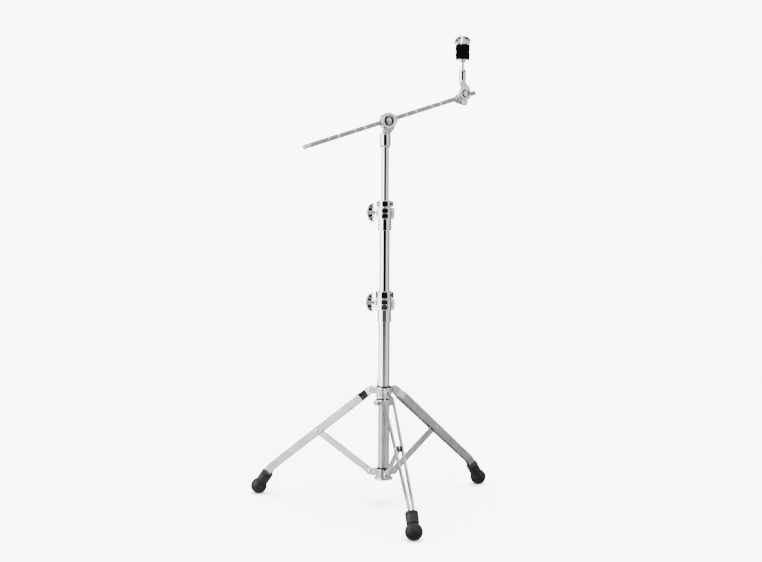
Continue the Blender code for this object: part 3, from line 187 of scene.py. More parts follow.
# ---------------------------------------------------------------- height clamps
CLAMP_STEM_R = 0.0038
CLAMP_EAR_DEPTH = 0.0210
EAR_PAD = 0.0070                # half width of the flat middle between the ears
EAR_TIP_SHARE = 0.42            # an ear's end is this share of its root's thickness
PAD_DEPTH = 0.0018              # flats are cut this deep in the front of the boss and the lock
BOSS_PAD_HEIGHT = 0.0110
BOSS_PAD_RISE = 0.0066          # from the boss's middle to the middle of each of its two flats
NUT_SLOT_OUT = 0.0015           # from the boss's side to the middle of the nut slot
CHEEK_INSET = 0.0040            # the cheek is a plate on the ear away from the wing
CHEEK_PROUD = 0.18              # how far it stands out, as a share of half the ear's depth
CHEEK_THICKNESS = 0.0018
CHEEK_SIDES = (-0.0016, 0.0030)
CHEEK_HALF_SHARE = 0.30         # its half height at its long side, as a share of the boss's height
CHEEK_TAPER = 0.55
CLAMP_NUT_SLOT = (0.0036, 0.0090, 0.0140)
CLAMP_NUT_CAP = (0.0034, 0.0007, 0.0138)
CLAMP_SEAT_WALL = 0.0025
CLAMP_WING_HALF = 0.0235
CLAMP_WING_DEPTH = 0.0195
MEMORY_EAR_DEPTH = 0.0130
MEMORY_SLOT = 0.0014
MEMORY_BOLT_INSET = 0.0036
MEMORY_BOLT_HALF = 0.0068
Clamp = namedtuple("Clamp", "sleeve_wall boss_r half_width shoulder_drop wing_flat lock_r lock_half_width")
CLAMPS = {
    "lower": Clamp(0.0032, 0.0195, 0.0260, 0.0275, 0.0280, 0.0180, 0.0235),
    "upper": Clamp(0.0038, 0.0180, 0.0245, 0.0290, 0.0268, 0.0155, 0.0215),
}

# ---------------------------------------------------------------- boom, tilters and seat
BOOM_R = 0.0055
BOOM_CAP_LENGTH = 0.020
RING_SPACING = 0.075            # between the smooth rings on the knurled rod
RING_WIDTH = 0.0062
SECOND_RING = 0.026             # the narrower ring ahead of each
SECOND_RING_WIDTH = 0.0030
KNURL_COUNT = 36
KNURL_DEPTH = 0.00022
RING_SEAT = 0.0006              # the smooth bands' depth in the rod
TILTER_SLEEVE_R = 0.01375
TILTER_DISC_R = 0.0205
TILTER_DISC_H = (0.0133, 0.0240)
TILTER_RECESS = (0.0138, 0.0022)  # radius and depth
TILTER_SHADE_RING = (0.0082, 0.0120)  # inner and outer radius of the black ring that paints shade into the recess
TILTER_NECK = (                 # height, forward centre, half side and half depth of each section
    (0.9380, 0.0, 0.0128, 0.0128),
    (0.9430, -0.0035, 0.0130, 0.0108),
    (0.9480, -0.0105, 0.0138, 0.0078),
    (0.9535, -0.0181, 0.0155, 0.0046),
    (0.9640, -0.0176, 0.0185, 0.0042),
    (0.9732, -0.0176, 0.0202, 0.0042),
)
HOLDER_R = 0.0090
HOLDER_ENDS = (-0.0135, 0.0310)
HOLDER_DISC_R = 0.0140
HOLDER_LUG = (0.0090, 0.0110, 0.0100)
HOLDER_LUG_PLACE = (0.0255, -0.0075)
CAP_NUT_R = 0.0072
SHANK_R = 0.0035
BOLT_R = 0.0034
BOOM_WING = (0.0090, 0.0180, 0.0150)  # reach to the wing's flat edge, half length and depth
TILTER_WING = (0.0222, 0.0200, 0.0200)
BASE_R = 0.0095
BASE_HALF = 0.0165
BASE_DISC_R = 0.0125
BASE_LUG = (0.0150, 0.0190, 0.0130)
BASE_LUG_DROP = 0.0125
BASE_SLOT_DROP = 0.0155
BASE_BOLT_DROP = 0.0135
BASE_SCREW_PLACE = (0.0125, 0.0060)
NECK_DISC_R = 0.0170
NECK_DISC_H = (0.0102, 0.0195)
NECK_RECESS = (0.0104, 0.0016)
# inner and outer radius of the black ring that paints shade into the neck disc's recess
NECK_SHADE_RING = (0.0078, 0.0092)
NECK_R = 0.00875
NECK_Z = (1.0800, 1.1125)
NECK_FLARE = (
    (-0.0007, -0.0140, 0.0166, 0.0037),
    (0.0070, -0.0140, 0.0160, 0.0037),
    (0.0145, -0.0146, 0.0136, 0.0044),
    (0.0205, -0.0100, 0.0112, 0.0068),
    (0.0265, -0.0035, 0.0094, 0.0088),
)
ROD_R = 0.0040
FELT_BORE_R = 0.0073
FELT_ROUNDING = 0.0024
FELT_FUZZ = 0.00016
WING_NUT_HALF = 0.0220


# ---------------------------------------------------------------- placing
def turn(degrees, axis):
    return Matrix.Rotation(math.radians(degrees), 4, axis)


def along(x=0.0, y=0.0, z=0.0):
    return Matrix.Translation((x, y, z))


def placed(origin, z_dir, x_hint):
    """A placement at origin with local Z along z_dir and local X as near x_hint as it can be."""
    z_axis = Vector(z_dir).normalized()
    x_axis = Vector(x_hint) - z_axis * z_axis.dot(Vector(x_hint))
    x_axis.normalize()
    rotation = Matrix((x_axis, z_axis.cross(x_axis), z_axis)).transposed().to_4x4()
    return Matrix.Translation(origin) @ rotation


def joint_axis(name):
    return Vector(JOINTS[name]["axis"]).normalized()


def joint_point(name):
    return Vector(JOINTS[name]["pos_m"])


def heights(node):
    low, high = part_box(node)
    return low.z, high.z


def radius_of(node):
    low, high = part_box(node)
    return (high.x - low.x) / 2


def reach_along(node, direction, radius):
    """Where a round bar through the boom's pivot starts and ends along its direction."""
    low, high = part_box(node)
    overhang = radius * math.sqrt(1 - direction.x ** 2)
    return tuple((x - TILT_POINT.x) / direction.x for x in (low.x + overhang, high.x - overhang))


BASE_TUBE_R = radius_of("base_tube")
MIDDLE_TUBE_R = radius_of("middle_tube")
UPPER_TUBE_R = radius_of("upper_tube")
MAST = sum(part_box("base_tube"), Vector()) / 2
MAST.z = 0.0
ON_MAST = Matrix.Translation(MAST)
BOOM_DIR = joint_axis("boom_slide")
FRONT_DIR = joint_axis("boom_tilt")
BOOM_LEVEL = Vector((BOOM_DIR.x, BOOM_DIR.y, 0.0)).normalized()
TILT_POINT = joint_point("boom_tilt")
BASE_POINT = joint_point("tilter_roll")
CYMBAL_POINT = joint_point("cymbal_tilt")
ACROSS = turn(-90, "X")         # local Z across a leg's plane


def sector(index):
    """The frame of one leg: local X runs outwards from the mast, Z up and Y across the leg."""
    outwards = joint_point(f"leg_{index}_hinge") - MAST
    outwards.z = 0.0
    return placed(MAST, UP, outwards)


def pivot_place(index, joint):
    """The sector's frame moved to one of its hinges."""
    point = joint_point(joint)
    return sector(index) @ along((point - MAST).xy.length, 0.0, point.z)


# ---------------------------------------------------------------- shapes
def arc(centre, radius, start, end, steps):
    """Points of an arc in a plane, from one angle to another in degrees."""
    points = []
    for k in range(steps + 1):
        angle = math.radians(start + (end - start) * k / steps)
        points.append((centre[0] + radius * math.cos(angle), centre[1] + radius * math.sin(angle)))
    return points


def new_piece(name, work, place):
    bmesh.ops.recalc_face_normals(work, faces=work.faces)
    mesh = bpy.data.meshes.new(name)
    work.to_mesh(mesh)
    work.free()
    made = bpy.data.objects.new(name, mesh)
    bpy.context.scene.collection.objects.link(made)
    made.matrix_world = place
    return made


def filleted(points, radius, closed, steps=4):
    """The outline with a small curve at each corner, or as it is if the radius is 0."""
    if not radius:
        return [tuple(point) for point in points]
    outline = []
    count = len(points)
    for k, point in enumerate(points):
        if not closed and k in (0, count - 1):
            outline.append(tuple(point))
            continue
        corner = Vector(point)
        to_last = Vector(points[k - 1]) - corner
        to_next = Vector(points[(k + 1) % count]) - corner
        reach = min(radius, to_last.length * 0.45, to_next.length * 0.45)
        start = corner + to_last.normalized() * reach
        end = corner + to_next.normalized() * reach
        for step in range(steps + 1):
            share = step / steps
            on_curve = start * (1 - share) ** 2 + corner * 2 * share * (1 - share) + end * share ** 2
            outline.append(tuple(on_curve))
    return outline


def lathe(name, profile, place=ON_MAST, fillet=EDGE, steps=FINE):
    """A turned body about local Z. It is a ring if no point of its profile is on the axis."""
    ring = profile[0][0] > 0.0
    work = bmesh.new()
    verts = [work.verts.new((radius, 0.0, height)) for radius, height in filleted(profile, fillet, ring)]
    followers = verts[1:] + verts[:1] if ring else verts[1:]
    edges = [work.edges.new(pair) for pair in zip(verts, followers)]
    bmesh.ops.spin(work, geom=verts + edges, cent=(0, 0, 0), axis=(0, 0, 1), angle=2 * math.pi,
                   steps=steps, use_merge=True)
    bmesh.ops.remove_doubles(work, verts=work.verts, dist=0.000001)
    return new_piece(name, work, place)


def sleeve(name, inner, outer, bottom, top, place=ON_MAST, fillet=EDGE):
    return lathe(name, [(inner, top), (outer, top), (outer, bottom), (inner, bottom)], place, fillet)


def rod(name, radius, start, end, place, fillet=0.0, steps=SMALL):
    profile = [(0.0, end), (radius, end), (radius, start), (0.0, start)]
    return lathe(name, profile, place, fillet, steps)


def rounded_edges(piece, width, segments=3):
    bevel = piece.modifiers.new("Rounded edges", "BEVEL")
    bevel.width = width
    bevel.segments = segments
    bevel.limit_method = "ANGLE"
    bevel.angle_limit = math.radians(40)


def block(name, size, place, rounding=EDGE):
    work = bmesh.new()
    bmesh.ops.create_cube(work, size=1.0)
    bmesh.ops.scale(work, vec=Vector(size), verts=work.verts)
    made = new_piece(name, work, place)
    if rounding:
        rounded_edges(made, rounding)
    return made


def prism(name, outline, thickness, place, rounding=EDGE):
    """A flat plate in the local XZ plane, centred on it."""
    work = bmesh.new()
    front = work.faces.new([work.verts.new((x, -thickness / 2, z)) for x, z in outline])
    swept = bmesh.ops.extrude_face_region(work, geom=[front])
    moved = [item for item in swept["geom"] if isinstance(item, bmesh.types.BMVert)]
    bmesh.ops.translate(work, vec=(0.0, thickness, 0.0), verts=moved)
    made = new_piece(name, work, place)
    if rounding:
        rounded_edges(made, rounding)
    return made


def smooth_sections(sections, between=5):
    """More sections on a smooth curve through the given ones."""
    dense = []
    last = len(sections) - 1
    for k in range(last):
        p0, p1 = sections[max(k - 1, 0)], sections[k]
        p2, p3 = sections[k + 1], sections[min(k + 2, last)]
        for step in range(between):
            t = step / between
            dense.append(tuple(0.5 * (2 * b + (c - a) * t + (2 * a - 5 * b + 4 * c - d) * t * t
                                      + (3 * b - a - 3 * c + d) * t ** 3)
                               for a, b, c, d in zip(p0, p1, p2, p3)))
    dense.append(sections[last])
    return dense


def loft(name, sections, place, points=64):
    """A closed body through level oval sections of (height, forward centre, half side, half depth)."""
    work = bmesh.new()
    loops = []
    for height, forward, half_side, half_depth in smooth_sections(sections):
        loops.append([work.verts.new((half_side * math.cos(2 * math.pi * k / points),
                                      forward + half_depth * math.sin(2 * math.pi * k / points), height))
                      for k in range(points)])
    for lower, upper in zip(loops, loops[1:]):
        for k in range(points):
            following = (k + 1) % points
            work.faces.new((lower[k], lower[following], upper[following], upper[k]))
    work.faces.new(list(reversed(loops[0])))
    work.faces.new(loops[-1])
    return new_piece(name, work, place)


def combine(piece, tools, operation):
    for tool in tools:
        boolean = piece.modifiers.new(tool.name, "BOOLEAN")
        boolean.object = tool
        boolean.operation = operation
        boolean.solver = "EXACT"


def join(piece, *tools):
    combine(piece, tools, "UNION")


def cut(piece, *tools):
    combine(piece, tools, "DIFFERENCE")


def cleaned(mesh):
    """Closes the pinholes and slivers that a Boolean can leave."""
    work = bmesh.new()
    work.from_mesh(mesh)
    bmesh.ops.remove_doubles(work, verts=work.verts, dist=0.000002)
    bmesh.ops.dissolve_degenerate(work, edges=work.edges, dist=0.000002)
    borders = [edge for edge in work.edges if len(edge.link_faces) == 1]
    if borders:
        bmesh.ops.holes_fill(work, edges=borders, sides=0)
    loose = [vert for vert in work.verts if not vert.link_faces]
    bmesh.ops.delete(work, geom=loose, context="VERTS")
    work.to_mesh(mesh)
    work.free()


def dress(piece, body, slot, *nodes, look=None, sharp=35):
    """Bakes the piece's modifiers in, gives it its slot's look or its own, and hands it to its CAD body."""
    tools = [modifier.object for modifier in piece.modifiers if modifier.type == "BOOLEAN"]
    depsgraph = bpy.context.evaluated_depsgraph_get()
    mesh = bpy.data.meshes.new_from_object(piece.evaluated_get(depsgraph))
    piece.modifiers.clear()
    piece.data = mesh
    for tool in set(tools):
        bpy.data.objects.remove(tool, do_unlink=True)
    cleaned(mesh)
    if slot == "black_rubber":
        mesh.transform(piece.matrix_world)      # a tilted foot's own box would reach under the floor
        piece.matrix_world = Matrix()
    mesh.materials.clear()
    mesh.materials.append(LOOKS[look or slot])
    mesh.shade_smooth()
    mesh.set_sharp_from_angle(angle=math.radians(sharp))
    piece.modifiers.new("Flat faces stay flat", "WEIGHTED_NORMAL").keep_sharp = True
    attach(piece, body)
    if nodes:
        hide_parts(*nodes)
    return piece


# ---------------------------------------------------------------- materials
def add_node(tree, kind, inputs=None, **settings):
    """A shader node. Its inputs are values, or sockets to link from."""
    made = tree.nodes.new(kind)
    for key, value in settings.items():
        setattr(made, key, value)
    for key, value in (inputs or {}).items():
        if isinstance(value, bpy.types.NodeSocket):
            tree.links.new(value, made.inputs[key])
        else:
            made.inputs[key].default_value = value
    return made


def grain(tree, scale, detail=3.0, stretch=(1.0, 1.0, 1.0)):
    """Noise in the piece's own coordinates, so that it stays put when the piece moves."""
    coords = add_node(tree, "ShaderNodeTexCoord").outputs["Object"]
    stretched = add_node(tree, "ShaderNodeMapping", {"Vector": coords, "Scale": stretch}).outputs["Vector"]
    inputs = {"Vector": stretched, "Scale": scale, "Detail": detail}
    return add_node(tree, "ShaderNodeTexNoise", inputs).outputs["Fac"]


def spread(tree, value, low, high, start=0.3, end=0.7):
    inputs = {"Value": value, "From Min": start, "From Max": end, "To Min": low, "To Max": high}
    return add_node(tree, "ShaderNodeMapRange", inputs).outputs["Result"]


def blend_colour(tree, share, first, second):
    mix = add_node(tree, "ShaderNodeMix", {0: share, 6: first, 7: second}, data_type="RGBA")
    return mix.outputs[2]


def bump(tree, height, distance, strength=1.0, below=None):
    inputs = {"Height": height, "Distance": distance, "Strength": strength}
    if below:
        inputs["Normal"] = below
    return add_node(tree, "ShaderNodeBump", inputs).outputs["Normal"]


def worn_edges(tree, start, end):
    """Where the surface is convex, such as along a worn edge."""
    return spread(tree, add_node(tree, "ShaderNodeNewGeometry").outputs["Pointiness"], 0.0, 1.0, start, end)


def surface(name, metallic):
    made = bpy.data.materials.new(name)
    made.use_nodes = True
    shader = made.node_tree.nodes["Principled BSDF"]
    shader.inputs["Metallic"].default_value = metallic
    return made, made.node_tree, shader


def wire(tree, shader, colour, roughness, normal):
    tree.links.new(colour, shader.inputs["Base Color"])
    tree.links.new(roughness, shader.inputs["Roughness"])
    tree.links.new(normal, shader.inputs["Normal"])


def plated(name, dark, light, roughness, ripple, lines):
    """Plated metal: faint clouding, handling marks, hairlines from drawing or casting, brighter edges."""
    made, tree, shader = surface(name, 1.0)
    cloud = blend_colour(tree, spread(tree, grain(tree, 38.0), 0.0, 1.0), dark, light)
    colour = blend_colour(tree, worn_edges(tree, 0.52, 0.62), cloud, (0.93, 0.93, 0.92, 1.0))
    smudge = spread(tree, grain(tree, 55.0, 5.0), roughness[0], roughness[1], 0.35, 0.72)
    hairlines = grain(tree, 60.0, 2.0, lines)
    peel = bump(tree, grain(tree, 210.0, 2.0), ripple)
    wire(tree, shader, colour, smudge, bump(tree, hairlines, ripple * 0.6, 0.5, peel))
    return made


def knurled():
    """Satin knurled steel: a fine diamond pattern over the modelled flutes, darker in its valleys."""
    made, tree, shader = surface("knurled_steel", 1.0)
    coords = add_node(tree, "ShaderNodeTexCoord").outputs["Object"]
    cells = add_node(tree, "ShaderNodeTexVoronoi", {"Vector": coords, "Scale": 1100.0}).outputs["Distance"]
    dark, light = (0.27, 0.27, 0.275, 1.0), (0.54, 0.54, 0.55, 1.0)
    valleys = blend_colour(tree, spread(tree, cells, 0.0, 1.0, 0.1, 0.7), light, dark)
    colour = blend_colour(tree, spread(tree, grain(tree, 60.0), 0.0, 0.5), valleys, (0.66, 0.66, 0.66, 1.0))
    roughness = spread(tree, grain(tree, 400.0, 4.0), 0.34, 0.52)
    wire(tree, shader, colour, roughness, bump(tree, cells, 0.00012, 0.8))
    return made


def blackened():
    """Blackened steel: mottled oxide, rubbed bright on the corners."""
    made, tree, shader = surface("black_steel", 1.0)
    dark, light = (0.020, 0.020, 0.024, 1.0), (0.065, 0.063, 0.070, 1.0)
    mottled = blend_colour(tree, spread(tree, grain(tree, 420.0, 5.0), 0.0, 1.0), dark, light)
    colour = blend_colour(tree, worn_edges(tree, 0.53, 0.66), mottled, (0.32, 0.31, 0.31, 1.0))
    roughness = spread(tree, grain(tree, 300.0, 3.0), 0.26, 0.48)
    wire(tree, shader, colour, roughness, bump(tree, grain(tree, 900.0), 0.00006))
    return made


def moulded(name, dark, light, worn, roughness, pores, depth):
    """Moulded plastic or rubber: a fine pored skin, uneven sheen, paler on scuffed edges."""
    made, tree, shader = surface(name, 0.0)
    shader.inputs["Specular IOR Level"].default_value = 0.22
    cloud = blend_colour(tree, spread(tree, grain(tree, 70.0, 4.0), 0.0, 1.0), dark, light)
    colour = blend_colour(tree, worn_edges(tree, 0.52, 0.66), cloud, worn)
    sheen = spread(tree, grain(tree, 120.0, 5.0), roughness[0], roughness[1])
    skin = bump(tree, grain(tree, pores, 4.0), depth)
    wire(tree, shader, colour, sheen, bump(tree, grain(tree, pores * 0.25, 2.0), depth * 1.5, 0.6, skin))
    return made


def felted():
    """Pressed wool felt: matted fibres that run every way."""
    made, tree, shader = surface("black_felt", 0.0)
    shader.inputs["Specular IOR Level"].default_value = 0.0
    fibres = grain(tree, 520.0, 8.0, (1.0, 1.0, 2.6))
    crossed = grain(tree, 480.0, 8.0, (2.6, 2.6, 1.0))
    dark, light = (0.0016, 0.0016, 0.0019, 1.0), (0.0065, 0.0065, 0.0072, 1.0)
    lint = blend_colour(tree, spread(tree, crossed, 0.0, 0.9, 0.45, 0.75), dark, light)
    roughness = spread(tree, fibres, 0.86, 1.0)
    wire(tree, shader, lint, roughness, bump(tree, fibres, 0.0004, 0.9, bump(tree, crossed, 0.0004, 0.8)))
    return made


LOOKS = {
    "chrome": plated("chrome", (0.80, 0.81, 0.82, 1.0), (0.88, 0.88, 0.88, 1.0), (0.018, 0.050), 0.0000012,
                     (6.0, 6.0, 0.15)),
    "cast_chrome": plated("cast_chrome", (0.77, 0.78, 0.79, 1.0), (0.86, 0.86, 0.86, 1.0), (0.035, 0.095),
                          0.000005, (1.0, 1.0, 1.0)),
    "strip_steel": plated("strip_steel", (0.58, 0.58, 0.57, 1.0), (0.80, 0.80, 0.80, 1.0), (0.15, 0.27),
                          0.000014, (0.15, 5.0, 5.0)),
    "knurled_steel": knurled(),
    "polished_steel": plated("polished_steel", (0.93, 0.93, 0.93, 1.0), (0.97, 0.97, 0.97, 1.0), (0.20, 0.30),
                             0.000002, (1.0, 1.0, 1.0)),
    "black_steel": blackened(),
    "black_nylon": moulded("black_nylon", (0.0025, 0.0025, 0.0028, 1.0), (0.0060, 0.0060, 0.0065, 1.0),
                           (0.020, 0.020, 0.021, 1.0), (0.30, 0.48), 900.0, 0.00005),
    "black_rubber": moulded("black_rubber", (0.0034, 0.0035, 0.0036, 1.0), (0.0072, 0.0073, 0.0075, 1.0),
                            (0.022, 0.022, 0.023, 1.0), (0.40, 0.62), 650.0, 0.00008),
    "black_felt": felted(),
}


# ---------------------------------------------------------------- small shared pieces
def rivet_head(tip, shank_end):
    """Profile points of a domed rivet head with a dimple in its middle, from its tip to its shank."""
    return [(0.0, tip - DIMPLE_R / 2), (DIMPLE_R * 0.7, tip - DIMPLE_R / 4), (DIMPLE_R, tip),
            (PIN_HEAD_R * 0.62, tip - PIN_HEAD * 0.10), (PIN_HEAD_R * 0.88, tip - PIN_HEAD * 0.42),
            (PIN_HEAD_R, tip - PIN_HEAD * 0.80), (PIN_HEAD_R, shank_end), (PIN_R, shank_end)]


def rivet(node_name, half_length, place, body):
    """A two-headed pin along local Z, centred on it."""
    half = rivet_head(half_length + PIN_HEAD, half_length)
    mirrored = [(radius, -height) for radius, height in reversed(half)]
    made = lathe(node_name + "_fine", half + mirrored, place, 0.0002, SMALL)
    dress(made, body, "chrome", node_name)


def hex_nut(name, radius, bottom, top, place):
    """A six-sided nut with its corners turned off."""
    outline = [(radius * math.cos(math.radians(60 * k)), radius * math.sin(math.radians(60 * k)))
               for k in range(6)]
    return prism(name, outline, top - bottom, place @ along(z=(bottom + top) / 2) @ turn(90, "X"), 0.0003)


def key_bolt(node_name, half_length, place, body):
    """A square-headed bolt and its nut along local Z, centred on it."""
    tail = half_length + KEY_NUT_HEIGHT - 0.0004
    bolt = rod(node_name + "_fine", KEY_BOLT_R, -tail, half_length + KEY_HEAD_HEIGHT / 2, place, 0.0002)
    head_place = place @ along(z=half_length + KEY_HEAD_HEIGHT / 2)
    head = block(node_name + "_head", (KEY_HEAD, KEY_HEAD, KEY_HEAD_HEIGHT), head_place, 0.0005)
    collar = rod(node_name + "_collar", KEY_HEAD * 0.66, half_length, half_length + 0.0009, place, 0.0002)
    nut = hex_nut(node_name + "_nut", KEY_NUT_R, -half_length - KEY_NUT_HEIGHT, -half_length, place)
    join(bolt, collar, head, nut)
    dress(bolt, body, "black_steel", node_name)


def wing_blade(name, half_length, flat, depth, place, rows=18, columns=56):
    """A half-moon wing in the local XZ plane: a rounded rim, a middle rib and a ridge in each hollow."""
    work = bmesh.new()
    grids = {1: [], -1: []}
    for column in range(columns + 1):
        side = math.sin(math.pi / 2 * (2 * column / columns - 1))
        bow = math.sqrt(max(1 - side * side, 0.0))
        x = half_length * side
        top = flat + WING_CORNER + (depth - WING_CORNER) * bow
        reach = max(abs(x) - (half_length - WING_CORNER), 0.0)
        bottom = flat + WING_CORNER - math.sqrt(max(WING_CORNER ** 2 - reach ** 2, 0.0))
        lines = {1: [], -1: []}
        for row in range(rows + 1):
            share = 0.5 - 0.5 * math.cos(math.pi * row / rows)
            z = bottom + (top - bottom) * share
            inset = min(z - bottom, top - z, (1 - abs(side)) * half_length * 1.4)
            rim = min(inset / WING_RIM, 1.0)
            bulge = math.sqrt(max(1 - (1 - rim) ** 2, 0.0))
            scoop = WING_SCOOP * (1 - (1 - min(max(inset - WING_LIP, 0.0) / WING_BOWL, 1.0)) ** 2)
            rib = WING_RIB * math.exp(-(x / WING_RIB_WIDTH) ** 2) * min(inset / WING_RIB_FADE, 1.0)
            slant = abs(x) - half_length * WING_RIDGE_START - (z - flat) * WING_RIDGE_SLANT
            ridge_share = math.exp(-(slant / WING_RIDGE_WIDTH) ** 2)
            ridge = WING_RIDGE * ridge_share * min(inset / WING_RIDGE_FADE, 1.0)
            half = WING_HALF_THICKNESS * bulge - scoop + max(rib, ridge)
            for face in (1, -1):
                lines[face].append(work.verts.new((x, face * half, z)))
        for face in (1, -1):
            grids[face].append(lines[face])
    for grid in grids.values():
        for left, right in zip(grid, grid[1:]):
            for k in range(rows):
                work.faces.new((left[k], right[k], right[k + 1], left[k + 1]))
    bmesh.ops.remove_doubles(work, verts=work.verts, dist=0.000002)
    bmesh.ops.dissolve_degenerate(work, edges=work.edges, dist=0.000002)
    return new_piece(name, work, place)


def wing_screw(node_name, stem_radius, joint, flat_reach, half_length, depth, x_hint, body, roll=0.0):
    """A bolt along its joint's axis, outwards from it, with a half-moon wing."""
    place = placed(joint_point(joint), joint_axis(joint), x_hint)
    tip = flat_reach + depth
    profile = [(0.0, tip - 0.0002), (0.0022, tip - 0.0006), (0.0034, flat_reach + depth * 0.55),
               (0.0046, flat_reach + 0.0030), (WING_BOSS_R, flat_reach), (WING_BOSS_R, flat_reach - 0.0015),
               (stem_radius, flat_reach - 0.0016), (stem_radius, 0.0), (0.0, 0.0)]
    bolt = lathe(node_name + "_fine", profile, place, 0.0004, SMALL)
    join(bolt, wing_blade(node_name + "_blade", half_length, flat_reach, depth, place @ turn(roll, "Z")))
    dress(bolt, body, "chrome", node_name)


# ---------------------------------------------------------------- mast
def tube(node_name, body):
    """A drawn tube with rolled ends."""
    low, high = heights(node_name)
    radius = radius_of(node_name)
    dress(sleeve(node_name + "_fine", radius - TUBE_WALL, radius, low, high), body, "chrome", node_name)


def lug(name, root, pivot_r, pivot_z, thickness, index):
    """A hub's lug, square at its root and round about its pivot."""
    outline = [(root, pivot_z - LUG_HALF_HEIGHT), *arc((pivot_r, pivot_z), LUG_HALF_HEIGHT, -90, 90, 16),
               (root, pivot_z + LUG_HALF_HEIGHT)]
    return prism(name, outline, thickness, sector(index), 0.0007)


def hub_lugs(hub, hub_r, joint_form, thickness):
    for index in (1, 2, 3):
        point = joint_point(joint_form.format(index))
        reach = (point - MAST).xy.length
        root = (LINER_R + GAP + hub_r) / 2
        join(hub, lug(f"{hub.name}_lug_{index}", root, reach, point.z, thickness, index))
        hole_place = sector(index) @ along(reach, 0.0, point.z) @ ACROSS
        cut(hub, rod(f"{hub.name}_hole_{index}", PIN_R + GAP, -thickness, thickness, hole_place))


def hub_liner(node_name, body, flange_r, flange_bottom, lip=None):
    """The nylon sleeve in a hub, with its flange above and, on the sliding hub, a lip below."""
    inner = BASE_TUBE_R + GAP
    bottom, top = heights(node_name)
    profile = [(inner, top), (flange_r - 0.0006, top), (flange_r, top - 0.0008), (flange_r, flange_bottom),
               (LINER_R, flange_bottom)]
    if lip:
        lip_top, lip_r = lip
        profile += [(LINER_R, lip_top), (lip_r, lip_top), (lip_r, bottom)]
    else:
        profile.append((LINER_R, bottom))
    profile.append((inner, bottom))
    dress(lathe(node_name + "_fine", profile, fillet=0.0003), body, "black_nylon", node_name)


def lower_hub():
    bottom, top = heights("lower_hub")
    bore = LINER_R + GAP
    shelf = bottom + LOWER_FLANGE
    profile = [(bore, top), (LOWER_HUB_R, top), (LOWER_HUB_R, shelf), (LOWER_FLANGE_R, shelf),
               (LOWER_FLANGE_R, bottom), (bore, bottom)]
    hub = lathe("lower_hub_fine", profile, fillet=0.0009)
    hub_lugs(hub, LOWER_HUB_R, "brace_{}_hinge", BRACE_LUG_THICKNESS)
    for index in (1, 2, 3):
        slot = (2 * THROUGH, BRACE_THICKNESS + 2 * GAP, 2 * THROUGH)
        slot_place = pivot_place(index, f"brace_{index}_hinge") @ along(x=BRACE_SLOT_START + THROUGH)
        cut(hub, block(f"brace_slot_{index}", slot, slot_place, 0.0))
    screw_low, screw_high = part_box("lower_hub_screw")
    screw_place = placed(MAST + UP * (screw_low.z + screw_high.z) / 2, (0, 1, 0), UP)
    cut(hub, rod("hub_screw_hole", HUB_SCREW_R + GAP, LINER_R - EDGE, LOWER_FLANGE_R, screw_place))
    dress(hub, "base", "cast_chrome", "lower_hub")
    screw_end = screw_high.y - MAST.y
    screw = rod("lower_hub_screw_fine", HUB_SCREW_R, LINER_R + 2 * GAP, screw_end, screw_place, 0.0003)
    cut(screw, hex_nut("hub_screw_socket", HUB_SCREW_R * 0.6, screw_end - 0.0016, screw_end + 0.001,
                       screw_place))
    dress(screw, "base", "black_steel", "lower_hub_screw")
    hub_liner("lower_hub_liner", "base", LOWER_LINER_FLANGE_R, top + GAP)
    half_length = BRACE_LUG_THICKNESS / 2 + GAP
    for index in (1, 2, 3):
        rivet(f"brace_pin_{index}", half_length, pivot_place(index, f"brace_{index}_hinge") @ ACROSS, "base")


def upper_hub():
    top = heights("upper_hub")[1]
    bore = LINER_R + GAP
    hub_bottom = heights("leg_lock_ring")[1] + HUB_ABOVE_LOCK
    waist_r = UPPER_HUB_R - HUB_GROOVE
    profile = [(bore, top), (UPPER_HUB_R, top), (UPPER_HUB_R, top - 0.0040), (waist_r, top - 0.0046),
               (waist_r, hub_bottom + 0.0046), (UPPER_HUB_R, hub_bottom + 0.0040), (UPPER_HUB_R, hub_bottom),
               (bore, hub_bottom)]
    hub = lathe("upper_hub_fine", profile, fillet=0.0007)
    hub_lugs(hub, UPPER_HUB_R, "leg_{}_hinge", LEG_LUG_THICKNESS)
    dress(hub, "leg_hub", "cast_chrome", "upper_hub")
    hub_liner("upper_hub_liner", "leg_hub", UPPER_LINER_FLANGE_R, top + GAP,
              (hub_bottom - GAP, LINER_R + LINER_LIP))
    half_length = STRIP_OFFSET_HUB + STRIP_THICKNESS / 2 + GAP
    for index in (1, 2, 3):
        rivet(f"leg_pin_{index}", half_length, pivot_place(index, f"leg_{index}_hinge") @ ACROSS, "leg_hub")
    tongue_top = heights("upper_hub_liner")[1] + TONGUE[2] / 2 - EDGE
    tongue_reach = BASE_TUBE_R + 2 * GAP + TONGUE[0] / 2
    tongue_place = ON_MAST @ turn(180.0 + CAMERA_AZIMUTH, "Z") @ along(x=tongue_reach, z=tongue_top)
    dress(block("upper_liner_tongue", TONGUE, tongue_place, 0.0005), "leg_hub", "chrome")


